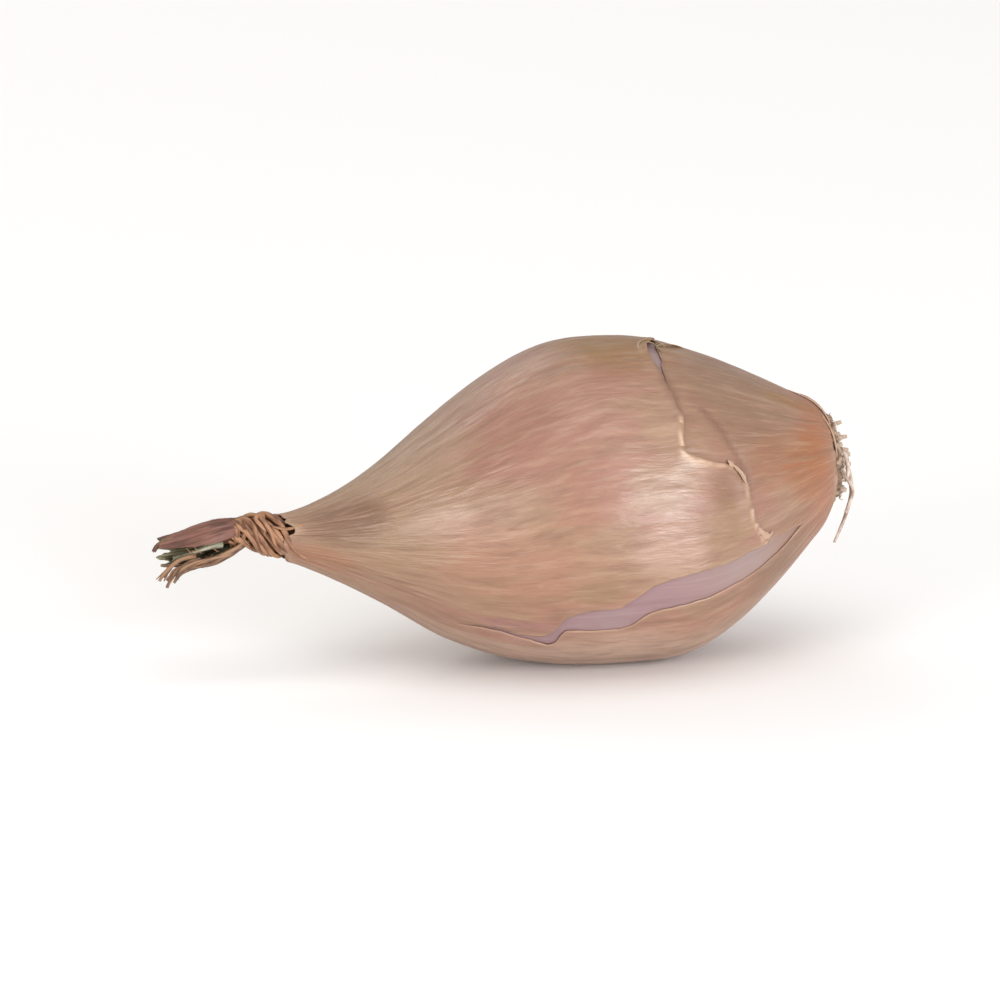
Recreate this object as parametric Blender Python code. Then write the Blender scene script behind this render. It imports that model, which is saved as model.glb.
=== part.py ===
"""A shallot lying on its side: a fleshy bulb in a dry, split skin, with a withered neck and dry roots.

Lengths are given in millimetres and angles in degrees, and the model is in metres, +Z up. The root end
points to +X and the neck to -X. The origin is the middle of the small flat that the shallot rests on.

A place on the bulb is (along, round, depth): along runs from the root end to the neck, round runs from
the top (0) by the split side (90, -Y) to the underside (180), and depth is measured inwards from the skin.
"""

import math
import random

import bmesh
import bpy
from mathutils import Vector

MM = 0.001

# Shape of the bulb: (along, radius), and how far its centre lies above the straight axis: (along, rise)
RADIUS = (
    (0.0, 4.4), (1.5, 6.7), (4.0, 8.8), (8.0, 11.8), (13.0, 15.0), (19.0, 17.6), (25.0, 18.2),
    (31.0, 17.9), (38.0, 15.8), (45.0, 12.2), (52.0, 7.6), (58.0, 4.4), (63.0, 2.5),
)
CENTRE_RISE = ((0.0, 2.1), (14.0, -0.3), (30.0, 0.2), (47.0, -1.2), (63.0, 0.2))
AXIS_DIP = 3.0
FLAT_DEPTH = 0.4

# The side away from the split is a little flatter
CHEEK_ROUND = 262.0
CHEEK_SPREAD = 60.0
CHEEK_FLATTENING = 0.05

# Dry outer skin
SKIN_THICKNESS = 0.6
SKIN_START = 0.6
SKIN_END = 62.5
SKIN_ROWS = 30
SKIN_COLUMNS = 48
TORN_RIM = 0.25
NECK_PLEATS = 7
PLEATS_START = 45.0
PLEAT_DEPTH = 0.08
GAP = 0.3

# The lengthwise split in the skin: (along, round of its upper edge, round of its lower edge)
SPLIT = (
    (1.6, 103.0, 110.0), (4.0, 101.0, 115.0), (8.5, 101.0, 124.0), (12.0, 104.0, 120.0),
    (16.0, 102.0, 117.0), (21.0, 104.5, 118.0), (25.0, 108.0, 121.0), (28.0, 115.5, 127.5),
    (34.0, 120.0, 129.0), (36.5, 130.0, 137.5), (39.0, 132.0, 136.0), (45.0, 133.6, 135.4),
)
# The tear across the skin, from its hidden end over the top to the split: (along, round)
TEAR = (
    (18.5, -22.0), (18.9, -12.0), (19.2, 20.0), (18.9, 43.0), (19.4, 61.0), (16.2, 64.0),
    (13.8, 66.5), (12.6, 75.0), (11.6, 90.0), (9.8, 108.0),
)
TEAR_WIDTH = 0.5
CUTTER_REACH = 1.6

# Bulb inside the skin
BULB_START = 2.5
BULB_END = 58.0
BULB_TIP_LENGTH = 5.0
BULB_ROWS = 22
BULB_COLUMNS = 36

# Basal plate, with its worn-off roots and the few long ones left
PLATE_RADIUS = 4.6
PLATE_BACK = 2.1
PLATE_FRONT = 0.2
PLATE_DOME = 0.9
STUBS = 22
STUB_RADIUS = 0.36
STUB_SHORTEST = 0.5
STUB_LONGEST = 1.3
STUB_SUNK = 0.5
STUB_LEAN = 0.5
STUBS_REACH = 3.9
LONG_ROOT_RADIUS = 0.3
# Long dry roots: points (out from the root end, towards the split side, up)
LONG_ROOTS = (
    ((0.4, 1.0, 2.6), (1.9, 1.0, 0.9), (2.3, 1.1, -1.8), (1.9, 1.1, -3.6), (0.6, 1.1, -6.2),
     (-0.3, 1.1, -7.7)),
    ((0.4, 0.4, 1.6), (1.4, 1.2, 0.0), (2.1, 1.8, -1.6), (1.4, 2.2, -3.2), (0.9, 2.4, -4.3)),
    ((0.4, -2.4, 1.0), (1.6, -3.0, -0.2), (1.9, -3.8, -2.2), (1.4, -4.2, -4.4)),
    ((0.4, -0.8, 4.2), (1.1, -1.6, 4.6), (1.5, -2.8, 4.2), (1.4, -4.0, 3.2)),
    ((0.4, 2.6, 3.4), (1.0, 3.5, 3.0), (1.1, 4.3, 2.0), (0.8, 4.8, 0.8)),
)

# Withered neck: its centre line beyond the skin's mouth, (along, rise, towards the split side)
NECK_LINE = (
    (58.4, -0.1, 0.0), (62.5, 0.2, 0.0), (65.3, 0.5, 0.0), (68.5, 0.6, 0.0), (72.0, 0.3, 0.1),
    (75.5, 0.1, 0.2),
)
# Core of the neck, from inside the skin's mouth to the end of the collar: (along, radius)
CORE = ((58.4, 0.9), (59.5, 1.4), (62.5, 1.5), (64.0, 1.8), (67.0, 1.7), (69.0, 1.2))
COLLAR_START = 62.9
COLLAR_END = 68.3
STRANDS = 6
STRAND_RADIUS = 0.58
STRAND_WINDING = 2.0
STRAND_TURN = -200.0
SHEATH_START = 66.8
SHEATH_END = 75.2
SHEATH_THICKNESS = 0.75
# Outer radius of the sheath: (along, radius)
SHEATH_RADIUS = ((66.8, 1.7), (69.5, 2.1), (73.0, 2.0), (75.2, 1.5))
# The sheath is open towards the split side, between its lips: (along, upper lip's round, lower lip's)
SHEATH_LIPS = ((66.8, 60.0, 110.0), (69.0, 84.0, 118.0), (73.0, 90.0, 124.0), (75.2, 80.0, 130.0))
# Frayed ends: first point and tip, each (along, rise, towards the split side)
FRAYED_ENDS = (
    ((74.4, -1.2, 0.6), (75.6, -2.6, 0.9), (76.3, -4.1, 1.0)),
    ((73.8, -1.3, 0.4), (74.8, -2.6, 1.2), (75.2, -3.9, 1.6)),
    ((74.6, -0.9, -0.2), (76.2, -2.0, -0.2), (77.0, -3.3, 0.0)),
    ((74.2, -1.2, -0.6), (75.4, -2.2, -1.2), (75.7, -3.4, -1.5)),
    ((74.4, 1.2, 0.4), (76.3, 1.5, 0.7), (77.5, 0.6, 0.9)),
    ((74.4, 0.9, -0.8), (76.0, 0.8, -1.4), (77.0, -0.2, -1.7)),
)
FRAY_RADIUS = 0.42

NECKWARDS = Vector((-math.cos(math.radians(AXIS_DIP)), 0.0, -math.sin(math.radians(AXIS_DIP))))
RISE = Vector((-math.sin(math.radians(AXIS_DIP)), 0.0, math.cos(math.radians(AXIS_DIP))))
SPLIT_SIDE = Vector((0.0, -1.0, 0.0))


def through(points, at):
    """Height at `at` of the smooth curve through (position, height) points."""
    steps = [(b[1] - a[1]) / (b[0] - a[0]) for a, b in zip(points, points[1:])]
    slopes = [steps[0]]
    for i in range(1, len(points) - 1):
        before = points[i][0] - points[i - 1][0]
        after = points[i + 1][0] - points[i][0]
        slopes.append((steps[i - 1] * after + steps[i] * before) / (before + after))
    slopes[0] = 2.0 * steps[0] - slopes[1]
    slopes.append(2.0 * steps[-1] - slopes[-1])
    i = max(0, min(len(steps) - 1, sum(at >= p[0] for p in points) - 1))
    width = points[i + 1][0] - points[i][0]
    t = (at - points[i][0]) / width
    start = (2 * t**3 - 3 * t**2 + 1) * points[i][1] + (t**3 - 2 * t**2 + t) * width * slopes[i]
    end = (3 * t**2 - 2 * t**3) * points[i + 1][1] + (t**3 - t**2) * width * slopes[i + 1]
    return start + end


def place(along, rise=0.0, side=0.0):
    """Point at these distances neckwards, above the axis and towards the split side."""
    return NECKWARDS * along + RISE * rise + SPLIT_SIDE * side


def skin_radius(along, round_deg):
    """Outer radius of the skin, with the flatter cheek and the pleats that gather towards the neck."""
    off_cheek = (round_deg - CHEEK_ROUND + 180.0) % 360.0 - 180.0
    cheek = max(0.0, math.cos(math.radians(90.0 * min(1.0, abs(off_cheek) / CHEEK_SPREAD)))) ** 2
    gathered = max(0.0, (along - PLEATS_START) / (SKIN_END - PLEATS_START)) ** 2
    pleat = 0.5 - 0.5 * math.cos(math.radians(NECK_PLEATS * round_deg))
    return through(RADIUS, along) * (1.0 - CHEEK_FLATTENING * cheek - PLEAT_DEPTH * gathered * pleat)


def outer_point(along, round_deg):
    """Point on the outside of the skin."""
    turn = math.radians(round_deg)
    radius = skin_radius(along, round_deg)
    return place(along, through(CENTRE_RISE, along) + radius * math.cos(turn), radius * math.sin(turn))


def skin_point(along, round_deg, depth=0.0):
    """Point `depth` inside the skin's outer surface, moved to where the shallot rests."""
    point = outer_point(along, round_deg)
    lengthwise = outer_point(along + 0.05, round_deg) - outer_point(along - 0.05, round_deg)
    roundwise = outer_point(along, round_deg + 0.5) - outer_point(along, round_deg - 0.5)
    inwards = lengthwise.cross(roundwise).normalized()
    if inwards.dot(place(along, through(CENTRE_RISE, along)) - point) < 0.0:
        inwards.negate()
    return point + inwards * depth + REST_SHIFT


def rest_shift():
    """Move that puts the lowest point of the underside FLAT_DEPTH below the origin."""
    underside = [outer_point(0.1 * step, 180.0) for step in range(100, 500)]
    lowest = min(underside, key=lambda point: point.z)
    return Vector((-lowest.x, 0.0, -lowest.z - FLAT_DEPTH))


REST_SHIFT = rest_shift()


def above(point, height):
    """The point in metres, held at least `height` above the surface that the shallot rests on."""
    return Vector((point.x, point.y, max(point.z, height))) * MM


def material(name, red, green, blue, roughness):
    """Principled material from a colour as seen, each channel 0 to 255."""
    result = bpy.data.materials.new(name)
    result.use_nodes = True
    shader = result.node_tree.nodes["Principled BSDF"]
    linear = [((c / 255.0 + 0.055) / 1.055) ** 2.4 for c in (red, green, blue)]
    shader.inputs["Base Color"].default_value = (*linear, 1.0)
    shader.inputs["Roughness"].default_value = roughness
    shader.inputs["Metallic"].default_value = 0.0
    return result


def add_object(name, mesh_data, surface=None):
    """Object made from a bmesh, with its faces turned outwards and shaded smooth."""
    bmesh.ops.recalc_face_normals(mesh_data, faces=mesh_data.faces)
    mesh = bpy.data.meshes.new(name)
    mesh_data.to_mesh(mesh)
    mesh_data.free()
    mesh.shade_smooth()
    mesh.set_sharp_from_angle(angle=math.radians(40.0))
    if surface:
        mesh.materials.append(surface)
    result = bpy.data.objects.new(name, mesh)
    bpy.context.scene.collection.objects.link(result)
    return result


def loft(name, rings, surface=None, capped=True):
    """Skin over a row of rings with equally many points; a capped one is a closed solid."""
    body = bmesh.new()
    rows = [[body.verts.new(point) for point in ring] for ring in rings]
    for first, second in zip(rows, rows[1:]):
        for i in range(len(first)):
            j = (i + 1) % len(first)
            body.faces.new((first[i], first[j], second[j], second[i]))
    if capped:
        body.faces.new(rows[0])
        body.faces.new(rows[-1])
        bmesh.ops.triangulate(body, faces=[face for face in body.faces if len(face.verts) > 4])
    return add_object(name, body, surface)


def smooth_path(points, count):
    """`count` points spread evenly over a smooth curve through the given ones."""
    marks = [0.0]
    for a, b in zip(points, points[1:]):
        marks.append(marks[-1] + (Vector(b) - Vector(a)).length)
    tracks = [[(mark, point[k]) for mark, point in zip(marks, points)] for k in range(3)]
    return [Vector([through(track, marks[-1] * i / (count - 1)) for track in tracks]) for i in range(count)]


def cross_frames(path):
    """Two unit vectors square to the path at each of its points, which turn with it and don't twist."""
    frames = []
    across = None
    for i in range(len(path)):
        along = (path[min(i + 1, len(path) - 1)] - path[max(i - 1, 0)]).normalized()
        if across is None:
            across = along.orthogonal().normalized()
        across = (across - along * across.dot(along)).normalized()
        frames.append((across, along.cross(across)))
    return frames


def tube(name, path, radius_at, sides):
    """Closed round strand along a path; `radius_at` gives its radius from 0 at the start to 1 at the end."""
    rings = []
    for i, (point, (across, other)) in enumerate(zip(path, cross_frames(path))):
        radius = radius_at(i / (len(path) - 1))
        turns = [2.0 * math.pi * k / sides for k in range(sides)]
        ring = [point + (across * math.cos(t) + other * math.sin(t)) * radius for t in turns]
        rings.append([corner * MM for corner in ring])
    return loft(name, rings)


def keep_outer_surface(mesh):
    """Keep the largest connected surface, which fills the pockets that a union seals and drops scraps."""
    body = bmesh.new()
    body.from_mesh(mesh)
    left = set(body.verts)
    surfaces = []
    while left:
        found, reach = set(), [next(iter(left))]
        while reach:
            vertex = reach.pop()
            if vertex not in found:
                found.add(vertex)
                reach += [edge.other_vert(vertex) for edge in vertex.link_edges]
        left -= found
        surfaces.append(found)
    largest = max(surfaces, key=len)
    others = [vertex for vertex in body.verts if vertex not in largest]
    bmesh.ops.delete(body, geom=others, context="VERTS")
    body.to_mesh(mesh)
    body.free()


def fuse(body, pieces):
    """Join the pieces to the body with one Boolean union, apply it, and remove the pieces."""
    group = bpy.data.collections.new(body.name + "_pieces")
    bpy.context.scene.collection.children.link(group)
    for piece in pieces:
        bpy.context.scene.collection.objects.unlink(piece)
        group.objects.link(piece)
    union = body.modifiers.new("union", "BOOLEAN")
    union.operation = "UNION"
    union.operand_type = "COLLECTION"
    union.collection = group
    union.solver = "MANIFOLD"
    bpy.context.view_layer.update()
    evaluated = body.evaluated_get(bpy.context.evaluated_depsgraph_get())
    fused = bpy.data.meshes.new_from_object(evaluated)
    body.modifiers.clear()
    body.data = fused
    keep_outer_surface(fused)
    fused.shade_smooth()
    fused.set_sharp_from_angle(angle=math.radians(40.0))
    for piece in pieces:
        bpy.data.objects.remove(piece)
    bpy.data.collections.remove(group)
    return body


def row_positions(start, end, rows):
    """Stations along the bulb, closer together on the round shoulder at the root end."""
    return [start + (end - start) * (i / (rows - 1)) ** 1.35 for i in range(rows)]


def slot_cutter(name, upper, lower):
    """Closed cutter through the skin between two lines of (along, round) points."""
    rings = []
    for top, bottom in zip(upper, lower):
        corners = ((top, -1), (bottom, -1), (bottom, 1), (top, 1))
        rings.append([skin_point(*line, CUTTER_REACH * way) * MM for line, way in corners])
    cutter = loft(name, rings)
    cutter.hide_render = True
    cutter.display_type = "WIRE"
    return cutter


def split_cutter():
    """Cutter for the lengthwise split."""
    upper = [(along, top) for along, top, _ in SPLIT]
    lower = [(along, bottom) for along, _, bottom in SPLIT]
    return slot_cutter("split_cutter", upper, lower)


def tear_cutter():
    """Cutter for the narrow tear: its line over the skin, widened to both sides."""
    upper, lower = [], []
    for i, (along, round_deg) in enumerate(TEAR):
        before, after = TEAR[max(i - 1, 0)], TEAR[min(i + 1, len(TEAR) - 1)]
        degree = math.radians(1.0) * through(RADIUS, along)
        way = Vector((after[0] - before[0], (after[1] - before[1]) * degree)).normalized()
        half = 0.5 * TEAR_WIDTH
        upper.append((along - way.y * half, round_deg + way.x * half / degree))
        lower.append((along + way.y * half, round_deg - way.x * half / degree))
    return slot_cutter("tear_cutter", upper, lower)


def papery_skin():
    """Dry outer skin: a thin shell, open at the roots and the neck, split lengthwise and torn across."""
    rings = []
    for row, along in enumerate(row_positions(SKIN_START, SKIN_END, SKIN_ROWS)):
        ring = []
        for column in range(SKIN_COLUMNS):
            round_deg = 360.0 * column / SKIN_COLUMNS
            torn = TORN_RIM * math.sin(math.radians(13.0 * round_deg)) if row == 0 else 0.0
            ring.append(above(skin_point(along + torn, round_deg), 0.0))
        rings.append(ring)
    skin = loft("papery_skin", rings, material("papery_skin", 186, 142, 122, 0.38), capped=False)
    wall = skin.modifiers.new("wall", "SOLIDIFY")
    wall.thickness = SKIN_THICKNESS * MM
    wall.offset = -1.0
    wall.use_even_offset = True
    for cutter in (split_cutter(), tear_cutter()):
        cut = skin.modifiers.new(cutter.name, "BOOLEAN")
        cut.operation = "DIFFERENCE"
        cut.object = cutter
    return skin


def bulb():
    """Fleshy bulb in its purple-pink inner skin: the outer skin's shape, one wall and one gap further in."""
    depth = SKIN_THICKNESS + GAP
    rings = []
    for along in row_positions(BULB_START, BULB_END - 0.1, BULB_ROWS):
        into_tip = max(0.0, (along - BULB_END + BULB_TIP_LENGTH) / BULB_TIP_LENGTH)
        taper = math.sqrt(1.0 - into_tip**2)
        centre = place(along, through(CENTRE_RISE, along)) + REST_SHIFT
        ring = []
        for column in range(BULB_COLUMNS):
            point = skin_point(along, 360.0 * column / BULB_COLUMNS, depth)
            ring.append(above(centre + (point - centre) * taper, depth))
        rings.append(ring)
    return loft("bulb", rings, material("inner_skin", 181, 143, 147, 0.42))


def long_root(number, points):
    """One long dry root, from inside the basal plate to its thin end."""
    path = [place(-out, up, side) + REST_SHIFT for out, side, up in smooth_path(points, 8)]
    return tube(f"long_root_{number}", path, lambda t: LONG_ROOT_RADIUS * (1.1 - 0.25 * t), 5)


def stub(number, draw):
    """One worn-off root, placed on the domed plate by the golden angle and leaning outwards."""
    spread = math.sqrt((number + 0.5) / STUBS)
    turn = number * math.pi * (3.0 - math.sqrt(5.0))
    length = STUB_SUNK + draw.uniform(STUB_SHORTEST, STUB_LONGEST)
    base_out = PLATE_DOME * (1.0 - spread**2) - PLATE_FRONT - STUB_SUNK
    path = []
    for step in range(3):
        out = length * step / 2
        reach = spread * STUBS_REACH + STUB_LEAN * spread * out
        rise = through(CENTRE_RISE, 0.0) + reach * math.cos(turn)
        path.append(place(-base_out - out, rise, reach * math.sin(turn)) + REST_SHIFT)
    return tube(f"stub_{number}", path, lambda t: STUB_RADIUS * (1.15 - 0.4 * t), 5)


def root_plate():
    """Basal plate with its dry roots, all one piece."""
    draw = random.Random(5)
    centre_rise = through(CENTRE_RISE, 0.0)
    profile = [(PLATE_BACK, 1.0), (PLATE_FRONT, 1.0)]
    profile += [(PLATE_FRONT - PLATE_DOME * (1.0 - r * r), r) for r in (0.8, 0.5, 0.2)]
    rings = []
    for along, share in profile:
        turns = [2.0 * math.pi * k / 24 for k in range(24)]
        radius = PLATE_RADIUS * share
        rings.append([
            (place(along, centre_rise + radius * math.cos(t), radius * math.sin(t)) + REST_SHIFT) * MM
            for t in turns
        ])
    plate = loft("root_plate", rings, material("root_plate", 176, 146, 118, 0.8))
    roots = [stub(number, draw) for number in range(STUBS)]
    roots += [long_root(number, points) for number, points in enumerate(LONG_ROOTS)]
    return fuse(plate, roots)


def neck_place(along, turn_deg=0.0, radius=0.0):
    """Point at an angle and a distance from the withered neck's own centre line."""
    turn = math.radians(turn_deg)
    rise = through([(a, r) for a, r, _ in NECK_LINE], along) + radius * math.cos(turn)
    side = through([(a, s) for a, _, s in NECK_LINE], along) + radius * math.sin(turn)
    return place(along, rise, side) + REST_SHIFT


def collar_strand(number):
    """One of the twisted, withered leaf ends that make the collar."""
    path = []
    for step in range(11):
        t = step / 10
        along = COLLAR_START + STRAND_RADIUS + (COLLAR_END - COLLAR_START) * t
        turn = 360.0 * number / STRANDS + STRAND_TURN * t
        path.append(neck_place(along, turn, STRAND_WINDING * (1.0 - 0.12 * t)))
    return tube(f"strand_{number}", path, lambda t: STRAND_RADIUS * (1.0 - 0.2 * abs(2.0 * t - 1.0)), 6)


def sheath():
    """Curled end of the outer leaf: a thin trough, open towards the split side."""
    rings = []
    rows, steps = 8, 10
    for row in range(rows):
        along = SHEATH_START + (SHEATH_END - SHEATH_START) * row / (rows - 1)
        outer = through(SHEATH_RADIUS, along)
        upper = through([(a, lip) for a, lip, _ in SHEATH_LIPS], along)
        lower = through([(a, lip) for a, _, lip in SHEATH_LIPS], along) - 360.0
        turns = [upper + (lower - upper) * k / steps for k in range(steps + 1)]
        ring = [neck_place(along, t, outer) for t in turns]
        ring += [neck_place(along, t, outer - SHEATH_THICKNESS) for t in reversed(turns)]
        rings.append([point * MM for point in ring])
    return loft("sheath", rings)


def frayed_end(number, points):
    """One frayed, bent tip of the sheath."""
    path = [place(along, rise, side) + REST_SHIFT for along, rise, side in smooth_path(points, 6)]
    return tube(f"frayed_end_{number}", path, lambda t: FRAY_RADIUS * (1.15 - 0.4 * t), 5)


def dry_neck():
    """Withered neck: a core from inside the skin's mouth, the twisted collar and the curled sheath."""
    rings = [[neck_place(along, 30.0 * k, radius) * MM for k in range(12)] for along, radius in CORE]
    core = loft("dry_neck", rings, material("dry_neck", 176, 132, 100, 0.75))
    pieces = [collar_strand(number) for number in range(STRANDS)]
    pieces.append(sheath())
    pieces += [frayed_end(number, points) for number, points in enumerate(FRAYED_ENDS)]
    return fuse(core, pieces)


def main():
    """Clear the scene and build the shallot's four pieces."""
    for leftover in list(bpy.data.objects):
        bpy.data.objects.remove(leftover)
    papery_skin()
    bulb()
    root_plate()
    dry_neck()


main()
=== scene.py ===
"""Dresses the shallot: papery outer skin, inner skin, withered neck and root end, with floor and lights.

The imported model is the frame. Lengths below are millimetres and angles degrees; meshes are in metres.
A place on the bulb is (along, turn, height): along runs from the root end to the neck, turn runs from the
top (0) by the split side (90) to the underside (180), and height is measured outwards from the skin.
"""

import logging
import math
from collections.abc import Iterable, Sequence
from dataclasses import dataclass, field
from enum import Enum
from typing import Any, Protocol, Union

import bpy
import numpy as np
from mathutils import Matrix, Vector


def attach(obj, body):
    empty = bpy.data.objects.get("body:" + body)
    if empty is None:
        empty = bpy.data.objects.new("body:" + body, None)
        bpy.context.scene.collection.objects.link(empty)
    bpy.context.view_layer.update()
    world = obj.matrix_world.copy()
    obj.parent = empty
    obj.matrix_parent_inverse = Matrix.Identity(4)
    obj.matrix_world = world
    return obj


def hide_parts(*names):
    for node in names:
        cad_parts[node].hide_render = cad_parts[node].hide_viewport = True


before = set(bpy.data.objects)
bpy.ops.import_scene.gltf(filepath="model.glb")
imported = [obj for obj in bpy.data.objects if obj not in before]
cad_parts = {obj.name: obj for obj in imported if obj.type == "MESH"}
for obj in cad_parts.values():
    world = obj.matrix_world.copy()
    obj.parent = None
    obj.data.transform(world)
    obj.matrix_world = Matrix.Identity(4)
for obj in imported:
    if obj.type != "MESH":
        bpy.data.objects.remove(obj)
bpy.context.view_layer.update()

MM = 0.001
DEGREES = 57.3  # in a radian
GRAIN_RADIUS = 18.0  # of the cylinder that the skin's coordinates lie on
SPLIT_SIDE = (0.0, -1.0, 0.0)  # direction of the side with the split
BODY = "root"

Pairs = tuple[tuple[float, float], ...]
Colour = tuple[int, int, int]
GridPoint = tuple[int, int]
Value = Union["Wire", float, Sequence[float]]
Stations = Sequence[tuple[float, ...]]

log = logging.getLogger("shallot")


class Slot(Enum):
    """The record's material slots."""

    PAPERY_SKIN = "papery_skin"
    INNER_SKIN = "inner_skin"
    DRY_NECK = "dry_neck"
    ROOT_PLATE = "root_plate"


# Node trees


class Wire:
    """One output socket, used in sums as if it were a number."""

    def __init__(self, graph: "Graph", socket: bpy.types.NodeSocket) -> None:
        """Keeps the socket and the graph it belongs to."""
        self.graph = graph
        self.socket = socket

    def of(self, name: str) -> "Wire":
        """Another output of the same node."""
        return Wire(self.graph, self.socket.node.outputs[name])

    def __add__(self, other: Value) -> "Wire":
        """Sum."""
        return self.graph.sum("ADD", self, other)

    __radd__ = __add__

    def __sub__(self, other: Value) -> "Wire":
        """Difference."""
        return self.graph.sum("SUBTRACT", self, other)

    def __rsub__(self, other: Value) -> "Wire":
        """Difference from a number."""
        return self.graph.sum("SUBTRACT", other, self)

    def __mul__(self, other: Value) -> "Wire":
        """Product."""
        return self.graph.sum("MULTIPLY", self, other)

    __rmul__ = __mul__

    def __truediv__(self, other: Value) -> "Wire":
        """Quotient."""
        return self.graph.sum("DIVIDE", self, other)

    def __rtruediv__(self, other: Value) -> "Wire":
        """Number divided by the value."""
        return self.graph.sum("DIVIDE", other, self)

    def ease(self, low: float, high: float) -> "Wire":
        """Smooth step from 0 to 1.

        Args:
            low: where it is 0.
            high: where it is 1, which may lie below `low`.

        Returns:
            The stepped value.
        """
        start, end, first = (low, high, 0.0) if low < high else (high, low, 1.0)
        sockets = {0: self, 1: start, 2: end, 3: first, 4: 1.0 - first}
        return self.graph.node("ShaderNodeMapRange", {"interpolation_type": "SMOOTHSTEP"}, sockets)


class Graph:
    """A node tree that is written as expressions."""

    def __init__(self, tree: bpy.types.NodeTree) -> None:
        """Keeps the tree."""
        self.tree = tree

    def node(
        self,
        kind: str,
        settings: dict[str, Any] | None = None,
        sockets: dict[int | str, Value] | None = None,
        out: int | str | None = None,
    ) -> Wire:
        """Adds a node.

        Args:
            kind: the node's type.
            settings: its properties, set first.
            sockets: values or links of its inputs, by place or name.
            out: the output that is returned, or none for the first that is in use.

        Returns:
            The chosen output.
        """
        made = self.tree.nodes.new(kind)
        for name, value in (settings or {}).items():
            setattr(made, name, value)
        for key, value in (sockets or {}).items():
            self.join(made.inputs[key], value)
        if out is None:
            return Wire(self, next(s for s in made.outputs if s.enabled))
        return Wire(self, made.outputs[out])

    def join(self, socket: bpy.types.NodeSocket, value: Value) -> None:
        """Links an input, or sets it where the value isn't another node's.

        Args:
            socket: the input.
            value: a number, a vector or another node's output.
        """
        if isinstance(value, Wire):
            self.tree.links.new(value.socket, socket)
        else:
            socket.default_value = value

    def sum(self, operation: str, *terms: Value) -> Wire:
        """Math node on plain values."""
        return self.node("ShaderNodeMath", {"operation": operation}, dict(enumerate(terms)))

    def vector(self, operation: str, *terms: Value) -> Wire:
        """Vector Math node."""
        return self.node("ShaderNodeVectorMath", {"operation": operation}, dict(enumerate(terms)))

    def scaled(self, vector: Value, factor: Value) -> Wire:
        """A vector times a value."""
        return self.node("ShaderNodeVectorMath", {"operation": "SCALE"}, {0: vector, "Scale": factor})

    def mix(self, factor: Value, first: Value, second: Value) -> Wire:
        """Mixes two colours."""
        settings = {"data_type": "RGBA", "clamp_factor": True}
        return self.node("ShaderNodeMix", settings, {0: factor, 6: first, 7: second})

    def noise(self, place: Value, size: Sequence[float], detail: float, seed: Value) -> Wire:
        """Noise from 0 to 1.

        Args:
            place: coordinates.
            size: what a grain measures along each axis.
            detail: how many finer layers lie over it.
            seed: of the pattern.

        Returns:
            The noise.
        """
        scaled = self.vector("MULTIPLY", place, tuple(1.0 / s for s in size))
        sockets = {"Vector": scaled, "W": seed, "Scale": 1.0, "Detail": detail, "Roughness": 0.55}
        return self.node("ShaderNodeTexNoise", {"noise_dimensions": "4D"}, sockets)


class Surface(Graph):
    """A material's node tree, round its Principled shader."""

    def __init__(self, name: str) -> None:
        """Makes the material.

        Args:
            name: the material's name.
        """
        self.material = bpy.data.materials.new(name)
        self.material.use_nodes = True
        super().__init__(self.material.node_tree)
        self.shader = self.tree.nodes["Principled BSDF"]

    def read(self, label: str, out: str) -> Wire:
        """An attribute of the mesh."""
        return self.node("ShaderNodeAttribute", {"attribute_name": label}, out=out)

    def tinted(self, base: Value, colour: Colour, share: Value) -> Wire:
        """A colour with this share of another."""
        return self.mix(share, base, seen(colour))

    def bump(self, height: Value, depth: float) -> Wire:
        """Normal of a relief this many millimetres deep."""
        sockets = {"Strength": 1.0, "Distance": depth * MM, "Height": height}
        return self.node("ShaderNodeBump", {}, sockets)

    def plug(self, **sockets: Value) -> bpy.types.Material:
        """Links or sets sockets of the shader, with _ for each space in a name.

        Args:
            sockets: their values.

        Returns:
            The material.
        """
        for name, value in sockets.items():
            self.join(self.shader.inputs[name.replace("_", " ")], value)
        return self.material


def seen(colour: Colour) -> tuple[float, ...]:
    """Linear colour of one given as it looks on a screen, 0 to 255."""
    return (*(((c / 255.0 + 0.055) / 1.055) ** 2.4 for c in colour), 1.0)


# Finishes


class Finish(Protocol):
    """A finish that can make its material."""

    def material(self) -> bpy.types.Material:
        """The material."""


class Tint(Enum):
    """Pigments of the dry skin, and tints that paint light and shade on it, as they look on a screen."""

    # pale tint, used mostly as painted light
    CHALK = (176, 146, 127)
    SAND = (160, 117, 90)
    ROSE = (146, 98, 81)
    STRAW = (138, 110, 77)
    OLIVE = (136, 98, 52)
    UMBER = (128, 97, 74)
    COPPER = (152, 93, 57)
    RUST = (142, 83, 36)
    BARK = (122, 85, 56)
    # dark brown used as painted shade
    PAINTED_SHADE = (102, 66, 41)
    MAUVE = (143, 99, 97)


def skin_wrinkles(g: Graph, grain: Wire) -> tuple[Wire, Wire]:
    """Wandering lines of the dry skin, the same for its finish and its mesh.

    Args:
        g: the tree that they are added to.
        grain: the skin's coordinates.

    Returns:
        Coordinates that wander across the skin, and its lengthwise wrinkles from 0 to 1.
    """
    drift = g.noise(grain, (6.0, 6.0, 9.0), 1.0, 4.2)
    bent = g.vector("ADD", grain, g.vector("MULTIPLY", drift.of("Color"), (1.6, 1.6, 0.0)))
    return bent, g.noise(bent, (1.0, 1.0, 4.6), 2.5, 9.4)


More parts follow.
